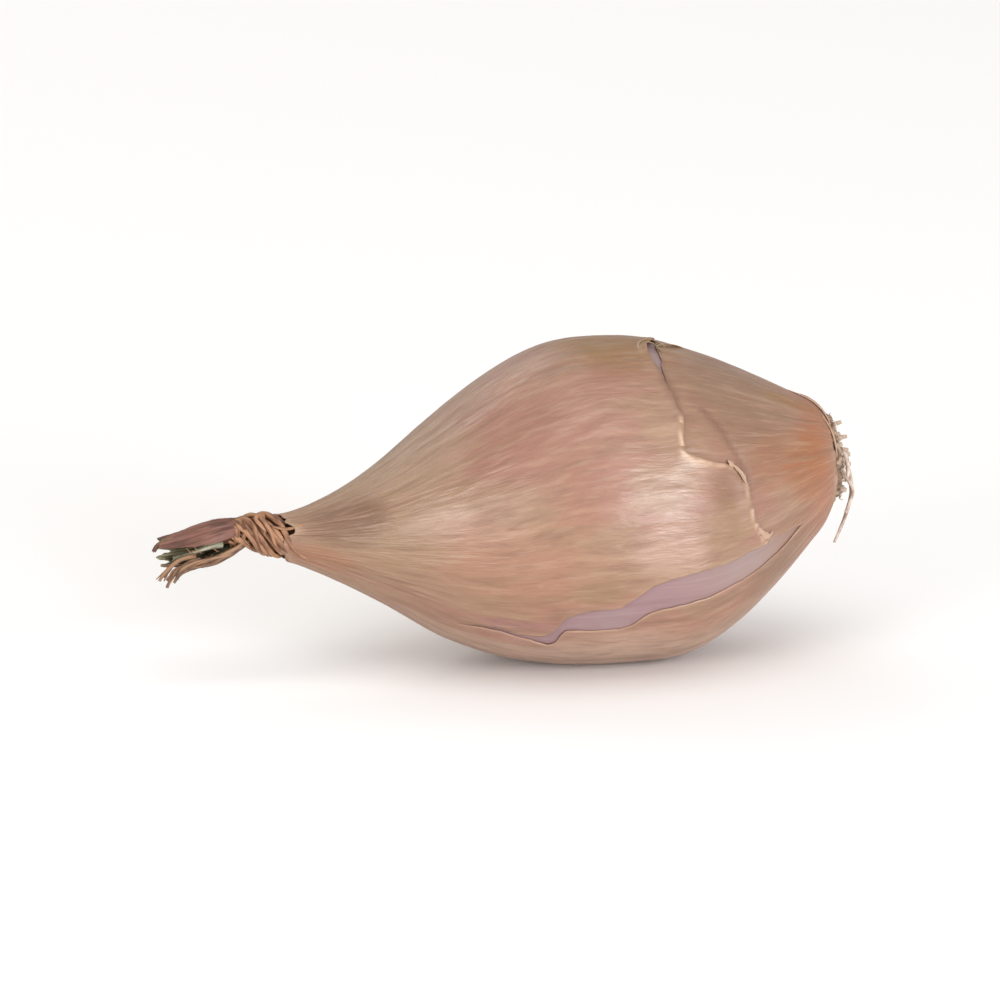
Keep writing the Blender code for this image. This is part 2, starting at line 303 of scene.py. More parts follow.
@dataclass(frozen=True)
class Patch:
    """A softly bounded patch of skin with more of one tint; some patches paint pigment, others paint light
    and shade.
    """

    tint: Tint
    along: float
    turn: float
    reach_along: float
    reach_turn: float
    strength: float

    def inside(self, g: Graph, grain: Wire, ragged: Wire) -> Wire:
        """Where the patch is.

        Args:
            g: the material's tree.
            grain: the skin's coordinates.
            ragged: how far its border strays from a smooth one.

        Returns:
            Its strength well inside it, falling softly to 0.
        """
        angle, widest = math.radians(self.turn), 1.9
        centre = (GRAIN_RADIUS * math.cos(angle), GRAIN_RADIUS * math.sin(angle), self.along)
        across = GRAIN_RADIUS * min(widest, math.radians(self.reach_turn))
        shrink = (1.0 / across, 1.0 / across, 1.0 / self.reach_along)
        off = g.vector("MULTIPLY", g.vector("SUBTRACT", grain, centre), shrink)
        length = g.node("ShaderNodeVectorMath", {"operation": "LENGTH"}, {0: off}, "Value")
        return (length + ragged).ease(1.25, 0.55) * self.strength


@dataclass(frozen=True)
class PaperyFinish:
    """Dry outer skin: pink-tan with short lengthwise veins, copper at the root, greyer at the neck, with
    painted shade in the tear and crease, and painted light and shade in some patches.
    """

    name: str = "papery_skin_finish"
    rose: Colour = (147, 104, 85)
    tan: Colour = (146, 112, 87)
    olive: Colour = (128, 99, 72)
    vein: Colour = (113, 75, 59)
    pale: Colour = (176, 144, 121)
    edge: Colour = (203, 171, 144)
    # dark brown painted as shade into the tear's gap and along the crease
    crack: Colour = (96, 56, 40)
    patches: tuple[Patch, ...] = (
        # neck: weathered straw on its slope, darkened partly as painted shade, with a painted highlight;
        # painted shade under the rim; copper underneath
        Patch(Tint.STRAW, 54.0, 30.0, 10.0, 90.0, 0.60),
        Patch(Tint.CHALK, 48.0, 24.0, 6.0, 30.0, 0.25),
        # painted highlight on the neck's slope
        Patch(Tint.CHALK, 47.0, 68.0, 4.0, 10.0, 0.45),
        # painted shade under the collar's rim
        Patch(Tint.PAINTED_SHADE, 56.6, 58.0, 4.6, 34.0, 0.75),
        Patch(Tint.COPPER, 60.0, 112.0, 4.4, 24.0, 0.55),
        # flank: rosy above, sandy below, olive over the top and by the tear, and a painted highlight low on
        # its middle
        Patch(Tint.ROSE, 34.0, 42.0, 9.0, 34.0, 0.55),
        Patch(Tint.SAND, 34.0, 14.0, 5.0, 14.0, 0.50),
        Patch(Tint.SAND, 40.0, 96.0, 10.0, 26.0, 0.50),
        Patch(Tint.OLIVE, 24.0, -2.0, 8.0, 26.0, 0.85),
        Patch(Tint.STRAW, 16.0, 88.0, 3.6, 9.0, 0.50),
        Patch(Tint.BARK, 15.2, 74.0, 2.6, 9.0, 0.65),
        # painted highlight: pale tint that spreads the lamp's reflection downwards
        Patch(Tint.CHALK, 23.0, 96.0, 4.6, 10.0, 0.50),
        # root shoulder: umber cap, copper and rust towards the plate
        Patch(Tint.UMBER, 12.0, 30.0, 7.0, 34.0, 0.70),
        Patch(Tint.UMBER, 10.0, 62.0, 3.0, 18.0, 0.50),
        Patch(Tint.OLIVE, 5.0, 23.0, 4.2, 8.0, 0.60),
        Patch(Tint.COPPER, 2.2, 66.0, 2.8, 50.0, 0.50),
        Patch(Tint.RUST, 4.8, 72.0, 3.2, 26.0, 0.65),
        Patch(Tint.COPPER, 9.0, 66.0, 3.4, 15.0, 0.35),
        Patch(Tint.COPPER, 3.0, 190.0, 5.0, 110.0, 0.55),
        Patch(Tint.BARK, 9.0, 124.0, 4.8, 13.0, 0.75),
        Patch(Tint.BARK, 7.0, 103.0, 3.0, 10.0, 0.45),
        # belly: paler with painted light from below, with the split's stained ends
        # painted light: pale tint standing in for light bounced up from the floor
        Patch(Tint.CHALK, 28.0, 154.0, 22.0, 24.0, 0.85),
        Patch(Tint.SAND, 17.0, 128.0, 6.5, 10.0, 0.45),
        Patch(Tint.STRAW, 31.0, 109.0, 3.2, 5.0, 0.65),
        Patch(Tint.MAUVE, 40.0, 126.0, 4.2, 3.6, 0.55),
        Patch(Tint.ROSE, 40.5, 137.0, 5.0, 4.0, 0.55),
        # far side
        Patch(Tint.ROSE, 28.0, 236.0, 10.0, 26.0, 0.50),
        Patch(Tint.STRAW, 44.0, 270.0, 8.0, 24.0, 0.50),
        Patch(Tint.SAND, 17.0, 292.0, 7.0, 24.0, 0.50),
        Patch(Tint.UMBER, 34.0, 314.0, 8.0, 14.0, 0.45),
    )
    roughness: float = 0.42
    relief: float = 0.15

    def material(self) -> bpy.types.Material:
        """Makes the material: colour, satin and relief all follow the skin's grain.

        Returns:
            The material.
        """
        g = Surface(self.name)
        grain = g.read("grain", "Vector")
        bent, wrinkle = skin_wrinkles(g, grain)
        blotch = g.noise(grain, (5.0, 5.0, 8.0), 3.0, 1.3)
        streak = g.noise(bent, (1.7, 1.7, 13.0), 3.0, 5.1)
        striae = g.noise(bent, (0.50, 0.50, 3.2), 3.0, 7.7)
        fine = g.noise(bent, (0.22, 0.22, 1.2), 2.0, 2.9)

        base = g.mix(blotch.ease(0.40, 0.60), seen(self.rose), seen(self.tan))
        ragged = (blotch - 0.5) * 0.9 + (streak - 0.5) * 0.5
        for patch in self.patches:
            base = g.tinted(base, patch.tint.value, patch.inside(g, grain, ragged))
        for colour, share in (
            (self.olive, streak.ease(0.50, 0.66) * 0.42),
            (self.pale, streak.ease(0.46, 0.28) * 0.30),
            (self.vein, wrinkle.ease(0.52, 0.68) * 0.26),
            (self.pale, wrinkle.ease(0.46, 0.30) * 0.24),
            (self.vein, striae.ease(0.52, 0.70) * 0.30),
            (self.pale, striae.ease(0.47, 0.30) * 0.26),
            (self.vein, fine.ease(0.56, 0.78) * 0.22),
            (self.edge, g.read("torn", "Fac") * 0.85),
            # painted shade in the tear's gap and along the crease
            (self.crack, g.read("crack", "Fac") * 0.75),
        ):
            base = g.tinted(base, colour, share)

        rough = self.roughness + (wrinkle - 0.5) * 0.30 + (striae - 0.5) * 0.30 + (fine - 0.5) * 0.24
        bump = g.bump(striae * 0.50 + fine * 0.30 + streak * 0.7 - wrinkle * 0.8, self.relief)
        return g.plug(Base_Color=base, Roughness=rough, Normal=bump, Specular_IOR_Level=0.8)


@dataclass(frozen=True)
class InnerFinish:
    """Thin inner skin that lies on the bulb: mauve-pink with pale veins and a soft gloss."""

    name: str = "inner_skin_finish"
    mauve: Colour = (145, 115, 117)
    grey: Colour = (150, 126, 118)
    blue: Colour = (149, 131, 130)
    vein: Colour = (172, 144, 140)
    deep: Colour = (124, 86, 90)
    tan: Colour = (146, 114, 100)
    roughness: float = 0.42
    relief: float = 0.08

    def material(self) -> bpy.types.Material:
        """Makes the material, greyer and then tan towards the root.

        Returns:
            The material.
        """
        g = Surface(self.name)
        grain = g.read("grain", "Vector")
        along = g.node("ShaderNodeSeparateXYZ", {}, {0: grain}, 2)
        streak = g.noise(grain, (1.6, 1.6, 26.0), 3.0, 3.3)
        vein = g.noise(grain, (0.55, 0.55, 18.0), 3.0, 6.1)
        cloud = g.noise(grain, (3.6, 3.6, 7.0), 2.0, 2.6)
        base = g.mix(along.ease(10.0, 26.0), seen(self.grey), seen(self.mauve))
        base = g.tinted(base, self.blue, cloud.ease(0.48, 0.64) * 0.45)
        base = g.tinted(base, self.tan, along.ease(12.0, 7.5))
        base = g.tinted(base, self.deep, streak.ease(0.5, 0.72) * 0.55)
        base = g.tinted(base, self.vein, vein.ease(0.55, 0.75) * 0.3)
        bump = g.bump(vein * 0.5 + streak * 0.6, self.relief)
        return g.plug(Base_Color=base, Roughness=self.roughness + (vein - 0.5) * 0.2, Normal=bump)


@dataclass(frozen=True)
class FibreFinish:
    """Dry plant fibre: strands, whiskers and torn leaf, streaked along their own length."""

    name: str
    pale: Colour
    dark: Colour
    length: float = 3.0
    width: float = 0.14
    roughness: float = 0.62
    relief: float = 0.08

    def material(self) -> bpy.types.Material:
        """Makes the material, streaked in the fibre's own direction.

        Returns:
            The material.
        """
        g = Surface(self.name)
        grain = g.read("grain", "Vector")
        streak = g.noise(grain, (self.width, self.width, self.length), 3.0, 4.4)
        broad = g.noise(grain, (self.width * 4.0, self.width * 4.0, self.length * 0.8), 2.0, 8.8)
        base = g.mix(broad.ease(0.40, 0.66), seen(self.pale), seen(self.dark))
        base = g.tinted(base, self.dark, streak.ease(0.52, 0.70) * 0.75)
        rough = self.roughness + (streak - 0.5) * 0.25
        bump = g.bump(streak * 0.8 + broad * 0.8, self.relief)
        return g.plug(Base_Color=base, Roughness=rough, Normal=bump)


@dataclass(frozen=True)
class CorkFinish:
    """Corky basal plate: grey-brown, pitted."""

    name: str = "root_plate_finish"
    pale: Colour = (176, 152, 128)
    dark: Colour = (98, 72, 56)
    lump_size: float = 0.9
    pit_size: float = 0.28
    roughness: float = 0.8
    relief: float = 0.25

    def material(self) -> bpy.types.Material:
        """Makes the material.

        Returns:
            The material.
        """
        g = Surface(self.name)
        place = g.node("ShaderNodeTexCoord", {}, {}, "Object")
        lump = g.noise(place, (self.lump_size * MM,) * 3, 4.0, 2.2)
        pit = g.noise(place, (self.pit_size * MM,) * 3, 2.0, 7.0)
        base = g.mix(lump.ease(0.38, 0.64), seen(self.dark), seen(self.pale))
        base = g.tinted(base, self.dark, pit.ease(0.58, 0.70) * 0.6)
        rough = self.roughness + (pit - 0.5) * 0.2
        return g.plug(Base_Color=base, Roughness=rough, Normal=g.bump(lump + pit * 0.4, self.relief))


# Shape of the bulb


@dataclass(frozen=True)
class StraightLine:
    """Straight runs through (position, value) points."""

    points: Pairs

    def at(self, position: np.ndarray | float) -> np.ndarray:
        """Values at these positions."""
        return np.interp(position, *np.array(self.points).T)


@dataclass(frozen=True)
class SmoothLine:
    """Smooth line through (position, value) points."""

    points: Pairs

    def at(self, position: np.ndarray | float) -> np.ndarray:
        """Values at these positions.

        Args:
            position: where to read the line.

        Returns:
            One value for each position.
        """
        where = np.asarray(position, float)
        x, y = np.array(self.points, float).T
        gaps, steps = np.diff(x), np.diff(y) / np.diff(x)
        slopes = np.empty(len(x))
        slopes[1:-1] = (steps[:-1] * gaps[1:] + steps[1:] * gaps[:-1]) / (gaps[:-1] + gaps[1:])
        slopes[0], slopes[-1] = 2.0 * steps[0] - slopes[1], 2.0 * steps[-1] - slopes[-2]
        i = np.clip(np.searchsorted(x, where, side="right") - 1, 0, len(gaps) - 1)
        t = (where - x[i]) / gaps[i]
        start = (2 * t**3 - 3 * t**2 + 1) * y[i] + (t**3 - 2 * t**2 + t) * gaps[i] * slopes[i]
        return start + (3 * t**2 - 2 * t**3) * y[i + 1] + (t**3 - t**2) * gaps[i] * slopes[i + 1]


@dataclass(frozen=True)
class Ragged:
    """Repeatable irregular line: values up to about `size`, changing every `spacing`."""

    seed: int
    spacing: float
    size: float

    def at(self, position: np.ndarray | float) -> np.ndarray:
        """Values at these positions.

        Args:
            position: where to read the line.

        Returns:
            One value for each position.
        """
        middle, count = 500.0, 2000
        where = np.asarray(position, float) / self.spacing + middle
        values = np.random.default_rng(self.seed).uniform(-1.0, 1.0, count)
        i = np.clip(np.floor(where).astype(int), 0, count - 2)
        t = where - i
        t = t * t * (3.0 - 2.0 * t)
        return self.size * (values[i] * (1.0 - t) + values[i + 1] * t)


def bell(distance: np.ndarray, width: float | np.ndarray) -> np.ndarray:
    """1 at no distance, falling smoothly to nothing over a few widths."""
    return np.exp(-((distance / width) ** 2))


def waves(turn: np.ndarray, *parts: tuple[float, float, float]) -> np.ndarray:
    """Sum of waves round the shallot, each with its size, its number round it and its start in radians."""
    return sum(size * np.cos(count * np.radians(turn) + start) for size, count, start in parts)


def away_from(turn: np.ndarray, centre: float) -> np.ndarray:
    """Turn measured from a centre, the short way round."""
    return (turn - centre + 180.0) % 360.0 - 180.0


@dataclass(frozen=True)
class Bulb:
    """The shallot's body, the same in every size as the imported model's."""

    radius: SmoothLine = SmoothLine((
        (0.0, 4.4), (1.5, 6.7), (4.0, 8.8), (8.0, 11.8), (13.0, 15.0), (19.0, 17.6), (25.0, 18.2),
        (31.0, 17.9), (38.0, 15.8), (45.0, 12.2), (52.0, 7.6), (58.0, 4.4), (63.0, 2.5),
    ))
    rise: SmoothLine = SmoothLine(((0.0, 2.1), (14.0, -0.3), (30.0, 0.2), (47.0, -1.2), (63.0, 0.2)))
    dip: float = 3.0
    flat_depth: float = 0.4
    cheek_turn: float = 262.0
    cheek_spread: float = 60.0
    cheek_flattening: float = 0.05
    pleats: int = 7
    pleats_start: float = 45.0
    pleats_end: float = 62.5
    pleat_depth: float = 0.08
    floor_gap: float = 0.02

    @property
    def neckwards(self) -> np.ndarray:
        """Direction from the root end to the neck."""
        return np.array([-math.cos(math.radians(self.dip)), 0.0, -math.sin(math.radians(self.dip))])

    @property
    def upwards(self) -> np.ndarray:
        """Direction across the axis, towards the top."""
        return np.array([-math.sin(math.radians(self.dip)), 0.0, math.cos(math.radians(self.dip))])

    @property
    def root_rise(self) -> float:
        """Height of the root end's centre over the axis."""
        return float(self.rise.at(0.0))

    def degrees_per_mm(self, along: np.ndarray | float) -> np.ndarray:
        """Turn that a millimetre of skin takes up round the bulb."""
        return DEGREES / self.radius.at(along)

    def axis_place(self, along: Any, rise: Any = 0.0, side: Any = 0.0) -> np.ndarray:
        """Points this far along, above the axis and towards the split side, before the rest shift.

        Args:
            along: from the root end to the neck.
            rise: above the axis.
            side: towards the split side.

        Returns:
            The points, with their coordinates on the last axis.
        """
        along, rise, side = (
            v[..., None] for v in np.broadcast_arrays(*(np.asarray(v, float) for v in (along, rise, side)))
        )
        return along * self.neckwards + rise * self.upwards + side * np.array(SPLIT_SIDE)

    def place(self, along: Any, rise: Any = 0.0, side: Any = 0.0) -> np.ndarray:
        """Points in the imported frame, in millimetres."""
        return self.axis_place(along, rise, side) + self.rest_shift()

    def skin_radius(self, along: np.ndarray, turn: np.ndarray) -> np.ndarray:
        """Outer radius, with the flatter cheek and the pleats that gather towards the neck.

        Args:
            along: of each place.
            turn: of each place.

        Returns:
            The radius there.
        """
        off = np.abs(away_from(turn, self.cheek_turn)) / self.cheek_spread
        cheek = np.cos(np.radians(90.0 * np.minimum(1.0, off))) ** 2
        gathered = np.maximum(0.0, (along - self.pleats_start) / (self.pleats_end - self.pleats_start)) ** 2
        pleat = 0.5 - 0.5 * np.cos(np.radians(self.pleats * turn))
        narrowed = 1.0 - self.cheek_flattening * cheek - self.pleat_depth * gathered * pleat
        return self.radius.at(along) * narrowed

    def outer(self, along: np.ndarray, turn: np.ndarray) -> np.ndarray:
        """Points on the outside of the skin, before the rest shift."""
        r, angle = self.skin_radius(along, turn), np.radians(turn)
        return self.axis_place(along, self.rise.at(along) + r * np.cos(angle), r * np.sin(angle))

    def rest_shift(self) -> np.ndarray:
        """Move that rests the underside on the floor, with a small flat at the origin.

        Returns:
            The move.
        """
        steps = np.arange(100, 500) * 0.1
        under = self.outer(steps, np.full(len(steps), 180.0))
        lowest = under[np.argmin(under[:, 2])]
        return np.array([-lowest[0], 0.0, -lowest[2] - self.flat_depth])

    def normal(self, along: np.ndarray, turn: np.ndarray) -> np.ndarray:
        """Outward directions of the skin.

        Args:
            along: of each place.
            turn: of each place.

        Returns:
            A direction for each.
        """
        lengthwise = self.outer(along + 0.05, turn) - self.outer(along - 0.05, turn)
        roundwise = self.outer(along, turn + 0.5) - self.outer(along, turn - 0.5)
        across = np.cross(roundwise, lengthwise)
        across /= np.linalg.norm(across, axis=-1, keepdims=True)
        outwards = self.outer(along, turn) - self.axis_place(along, self.rise.at(along))
        return across * np.sign(np.sum(across * outwards, axis=-1, keepdims=True))

    def point(self, along: np.ndarray, turn: np.ndarray, height: np.ndarray | float = 0.0) -> np.ndarray:
        """Points at a height above the skin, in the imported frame, held above the floor.

        Args:
            along: of each place.
            turn: of each place.
            height: outwards from the skin.

        Returns:
            The points.
        """
        raised = np.broadcast_to(np.asarray(height, float), np.shape(along))[..., None]
        points = self.outer(along, turn) + self.normal(along, turn) * raised + self.rest_shift()
        points[..., 2] = np.maximum(points[..., 2], self.floor_gap)
        return points

    def grain(self, along: np.ndarray, turn: np.ndarray) -> np.ndarray:
        """Skin coordinates in millimetres, whose streaks run from root to neck."""
        angle = np.radians(turn)
        return np.stack([GRAIN_RADIUS * np.cos(angle), GRAIN_RADIUS * np.sin(angle), along], axis=-1)


# Meshes


def mesh_object(
    name: str,
    points: np.ndarray,
    faces: Iterable[Sequence[int]],
    edges: Sequence[tuple[int, int]] = (),
    **attributes: np.ndarray,
) -> bpy.types.Object:
    """Object with its place in its mesh.

    Args:
        name: the piece's name.
        points: vertices in millimetres.
        faces: vertex numbers of each face.
        edges: loose edges, for a mesh of lines.
        attributes: a number or a vector for each vertex, by name.

    Returns:
        The object, linked to the scene.
    """
    mesh = bpy.data.meshes.new(name)
    mesh.from_pydata((points * MM).tolist(), list(edges), [list(map(int, f)) for f in faces])
    for label, values in attributes.items():
        values = np.asarray(values, np.float32)
        kind, key = ("FLOAT_VECTOR", "vector") if values.ndim == 2 else ("FLOAT", "value")
        mesh.attributes.new(label, kind, "POINT").data.foreach_set(key, values.ravel())
    mesh.shade_smooth()
    mesh.update()
    made = bpy.data.objects.new(name, mesh)
    bpy.context.scene.collection.objects.link(made)
    return made


def sheet_faces(number: np.ndarray, wrap: bool = False) -> list[list[int]]:
    """Quads between vertex numbers, whose rows run neckwards and whose columns turn with the skin.

    Args:
        number: vertex numbers by row and column.
        wrap: joins the last column to the first.

    Returns:
        The faces, which point outwards.
    """
    here, beside = (number, np.roll(number, -1, axis=1)) if wrap else (number[:, :-1], number[:, 1:])
    return np.stack([here[:-1], here[1:], beside[1:], beside[:-1]], axis=-1).reshape(-1, 4).tolist()


def pole_faces(number: np.ndarray, first: int) -> list[list[int]]:
    """Triangles that close the first and last row of a wrapped sheet.

    Args:
        number: vertex numbers by row and column.
        first: number of the pole beside the first row; the other pole is the next vertex.

    Returns:
        The faces, which point outwards.
    """
    faces, root, neck = [], number[0], number[-1]
    for here, beside, far, far_beside in zip(root, np.roll(root, -1), neck, np.roll(neck, -1)):
        faces += [[first, here, beside], [first + 1, far_beside, far]]
    return faces


def solidify(piece: bpy.types.Object, thickness: float, inner: int = 0, rim: int = 0) -> None:
    """Gives a sheet its thickness, inwards, with other materials inside and on the rim.

    Args:
        piece: the sheet.
        thickness: in millimetres.
        inner: place of the inside's material in the piece's list.
        rim: place of the rim's material.
    """
    modifier = piece.modifiers.new("thickness", "SOLIDIFY")
    modifier.thickness = thickness * MM
    modifier.offset = -1.0
    modifier.use_even_offset = False
    modifier.material_offset = inner
    modifier.material_offset_rim = rim


def finished(
    piece: bpy.types.Object, slot: Slot, materials: Sequence[bpy.types.Material], *nodes: str
) -> bpy.types.Object:
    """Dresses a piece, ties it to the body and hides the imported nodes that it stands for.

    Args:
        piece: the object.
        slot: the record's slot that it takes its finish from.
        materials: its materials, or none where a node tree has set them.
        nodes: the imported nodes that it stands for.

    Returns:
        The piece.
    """
    for material in materials:
        piece.data.materials.append(material)
    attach(piece, BODY)
    if nodes:
        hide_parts(*nodes)
    return piece


class NodeTool:
    """A Geometry Nodes tree with named inputs, whose result is kept as a plain mesh."""

    def __init__(self, name: str, inputs: dict[str, tuple[str, Any]]) -> None:
        """Makes the tree.

        Args:
            name: the tree's name.
            inputs: socket type and value of each named input, besides the geometry.
        """
        self.tree = bpy.data.node_groups.new(name, "GeometryNodeTree")
        self.graph = Graph(self.tree)
        self.values = inputs
        self.tree.interface.new_socket("Geometry", in_out="INPUT", socket_type="NodeSocketGeometry")
        for label, (kind, _) in inputs.items():
            self.tree.interface.new_socket(label, in_out="INPUT", socket_type=kind)
        self.tree.interface.new_socket("Geometry", in_out="OUTPUT", socket_type="NodeSocketGeometry")
        self.source = self.graph.node("NodeGroupInput")

    def named(self, label: str) -> Wire:
        """A named input."""
        return self.source.of(label)

    def read(self, label: str, kind: str) -> Wire:
        """A named attribute of the mesh."""
        return self.graph.node("GeometryNodeInputNamedAttribute", {"data_type": kind}, {"Name": label})

    def store(self, shape: Wire, label: str, value: Wire) -> Wire:
        """Keeps a vector with each point of a shape.

        Args:
            shape: the geometry.
            label: the attribute's name.
            value: the vector.

        Returns:
            The geometry with the attribute.
        """
        settings = {"data_type": "FLOAT_VECTOR", "domain": "POINT"}
        sockets = {0: shape, "Name": label, "Value": value}
        return self.graph.node("GeometryNodeStoreNamedAttribute", settings, sockets)

    def random(self, low: Sequence[float], high: Sequence[float], seed: Value) -> Wire:
        """A random vector for each point."""
        settings = {"data_type": "FLOAT_VECTOR"}
        return self.graph.node("FunctionNodeRandomValue", settings, {0: low, 1: high, "Seed": seed})

    def close(self, shape: Wire) -> None:
        """Ends the tree: instances made real, smooth shading, material.

        Args:
            shape: the geometry that comes out.
        """
        shape = self.graph.node("GeometryNodeRealizeInstances", {}, {0: shape})
        shape = self.graph.node("GeometryNodeSetShadeSmooth", {}, {0: shape})
        shape = self.graph.node("GeometryNodeSetMaterial", {}, {0: shape, "Material": self.named("Material")})
        end = self.tree.nodes.new("NodeGroupOutput")
        self.graph.join(end.inputs[0], shape)

    def run(self, piece: bpy.types.Object) -> bpy.types.Object:
        """Runs the tree on a piece and keeps the mesh that comes out.

        Args:
            piece: the object whose mesh goes in.

        Returns:
            The same object, with the new mesh and no modifier.
        """
        modifier = piece.modifiers.new(self.tree.name, "NODES")
        modifier.node_group = self.tree
        for item in self.tree.interface.items_tree:
            if item.in_out == "INPUT" and item.name in self.values:
                modifier[item.identifier] = self.values[item.name][1]
        bpy.context.view_layer.update()
        graph = bpy.context.evaluated_depsgraph_get()
        made = bpy.data.meshes.new_from_object(piece.evaluated_get(graph), depsgraph=graph)
        piece.modifiers.remove(modifier)
        old, piece.data = piece.data, made
        bpy.data.meshes.remove(old)
        made.name = piece.name
        made.materials.clear()
        made.materials.append(self.values["Material"][1])
        made.polygons.foreach_set("material_index", [0] * len(made.polygons))
        return piece


@dataclass(frozen=True)
class Threads:
    """Sweeps a flattened round section along lines: strands, whiskers and frayed ends."""

    material: bpy.types.Material
    flatness: float = 1.0
    sides: int = 7
    unevenness: float = 0.25
    seed: int = 0
    swells_per_metre: float = 1400.0
    grain_step: float = 7.3

    def make(self, name: str, lines: Sequence["Line"]) -> bpy.types.Object:
        """One piece of all the lines.

        Args:
            name: the piece's name.
            lines: the threads.

        Returns:
            The piece, a plain mesh.
        """
        points = np.concatenate([line.points for line in lines])
        widths = np.concatenate([line.half_widths for line in lines]) * MM
        facing = np.concatenate([line.facing for line in lines])
        edges, runs, first = [], [], 0
        for k, line in enumerate(lines):
            edges += [(first + i, first + i + 1) for i in range(len(line.points) - 1)]
            steps = np.linalg.norm(np.diff(line.points, axis=0), axis=1)
            runs.append(self.grain_step * k + np.concatenate([[0.0], np.cumsum(steps)]))
            first += len(line.points)
        run = np.concatenate(runs)
        piece = mesh_object(name, points, (), edges, half_width=widths, facing=facing, run=run)
        return self.tool().run(piece)

    def tool(self) -> NodeTool:
        """Makes the tree that sweeps the section.

        Returns:
            The tool. Its lines carry half_width, facing and run.
        """
        tool = NodeTool("threads", {
            "Flatness": ("NodeSocketFloat", self.flatness),
            "Sides": ("NodeSocketInt", self.sides),
            "Unevenness": ("NodeSocketFloat", self.unevenness),
            "Seed": ("NodeSocketInt", self.seed),
            "Material": ("NodeSocketMaterial", self.material),
        })
        g = tool.graph
        width = tool.read("half_width", "FLOAT")
        sockets = {"Vector": g.node("GeometryNodeInputPosition"), "W": tool.named("Seed")}
        sockets |= {"Scale": self.swells_per_metre, "Detail": 1.0}
        wave = g.node("ShaderNodeTexNoise", {"noise_dimensions": "4D"}, sockets)
        curve = g.node("GeometryNodeMeshToCurve", {}, {0: tool.source})
        sockets = {0: curve, "Normal": tool.read("facing", "FLOAT_VECTOR")}
        curve = g.node("GeometryNodeSetCurveNormal", {"mode": "FREE"}, sockets)
        sockets = {"Resolution": tool.named("Sides"), "Radius": 1.0}
        ring = g.node("GeometryNodeCurvePrimitiveCircle", {}, sockets)
        squash = g.node("ShaderNodeCombineXYZ", {}, {0: tool.named("Flatness"), 1: 1.0, 2: 1.0})
        ring = g.node("GeometryNodeTransform", {}, {0: ring, "Scale": squash})
        ring = tool.store(ring, "ring", g.node("GeometryNodeInputPosition"))
        swell = width * (1.0 + (wave - 0.5) * 2.0 * tool.named("Unevenness"))
        sockets = {0: curve, 1: ring, "Scale": swell, "Fill Caps": True}
        shape = g.node("GeometryNodeCurveToMesh", {}, sockets)
        around = g.scaled(tool.read("ring", "FLOAT_VECTOR"), width / MM)
        lengthwise = g.node("ShaderNodeCombineXYZ", {}, {2: tool.read("run", "FLOAT")})
        tool.close(tool.store(shape, "grain", g.vector("ADD", around, lengthwise)))
        return tool


@dataclass(frozen=True)
class Line:
    """A thread's path: points, half widths and the way its broad side faces."""

    points: np.ndarray
    half_widths: np.ndarray
    facing: np.ndarray

    @staticmethod
    def through(
        stations: np.ndarray, half_width: float, tip: float = 0.4, count: int = 24, facing: Any = SPLIT_SIDE
    ) -> "Line":
        """Smooth line through a few stations.

        Args:
            stations: points in millimetres.
            half_width: at the start.
            tip: share of it that is left at the end.
            count: points of the line.
            facing: direction of its broad side, for all points or each.

        Returns:
            The line.
        """
        stations = np.asarray(stations, float)
        knots = np.concatenate([[0.0], np.cumsum(np.linalg.norm(np.diff(stations, axis=0), axis=1))])
        at = np.linspace(0.0, knots[-1], count)
        axes = [SmoothLine(tuple(zip(knots.tolist(), stations[:, k].tolist()))) for k in range(3)]
        points = np.stack([axis.at(at) for axis in axes], axis=-1)
        widths = half_width * (1.0 - (1.0 - tip) * np.linspace(0.0, 1.0, count) ** 2)
        return Line(points, widths, np.broadcast_to(np.asarray(facing, float), points.shape).copy())


# Papery outer skin


@dataclass(frozen=True)
class Ribbons:
    """Narrow curled strips of skin, each along (along, turn, height, half width) stations."""

    bulb: Bulb
    thickness: float
    torn: float
    finish: Finish
    rows: int = 26
    columns: int = 9
    first_seed: int = 90
    ragged_spacing: float = 0.12
    raggedness: float = 0.3
    arch: float = 0.35
    tilt: float = 0.1

    def make(self, name: str, ribbons: Sequence[Stations]) -> bpy.types.Object:
        """One piece of all the ribbons.

        Args:
            name: the piece's name.
            ribbons: the stations of each.

        Returns:
            The piece.
        """
        points, grain, faces = [], [], []
        s = np.linspace(0.0, 1.0, self.rows)
        across = np.linspace(-1.0, 1.0, self.columns)[None, :]
        size = self.rows * self.columns
        for k, stations in enumerate(ribbons):
            at = np.linspace(0.0, 1.0, len(stations)).tolist()
            lines = [SmoothLine(tuple(zip(at, values))) for values in zip(*stations)]
            along, turn, height, half = (line.at(s)[:, None] for line in lines)
            ragged = Ragged(self.first_seed + k, self.ragged_spacing, self.raggedness)
            half = half * (1.0 + ragged.at(s)[:, None])
            per_mm = self.bulb.degrees_per_mm(along)
            lead_a, lead_t = np.gradient(along[:, 0])[:, None], np.gradient(turn[:, 0])[:, None] / per_mm
            norm = np.hypot(lead_a, lead_t)
            a = along + half * across * lead_t / norm
            t = turn - half * across * lead_a / norm * per_mm
            arch = self.arch * half * across**2 * (1.0 if k % 2 else -0.6)
            h = height + arch + self.tilt * half * across
            faces += sheet_faces((k * size + np.arange(size)).reshape(self.rows, self.columns))
            points.append(self.bulb.point(a, t, h).reshape(-1, 3))
            grain.append(self.bulb.grain(a, t).reshape(-1, 3))
        torn, crack = np.full(len(points) * size, self.torn), np.zeros(len(points) * size)
        points, grain = np.concatenate(points), np.concatenate(grain)
        piece = mesh_object(name, points, faces, grain=grain, torn=torn, crack=crack)
        solidify(piece, self.thickness)
        return finished(piece, Slot.PAPERY_SKIN, [self.finish.material()])


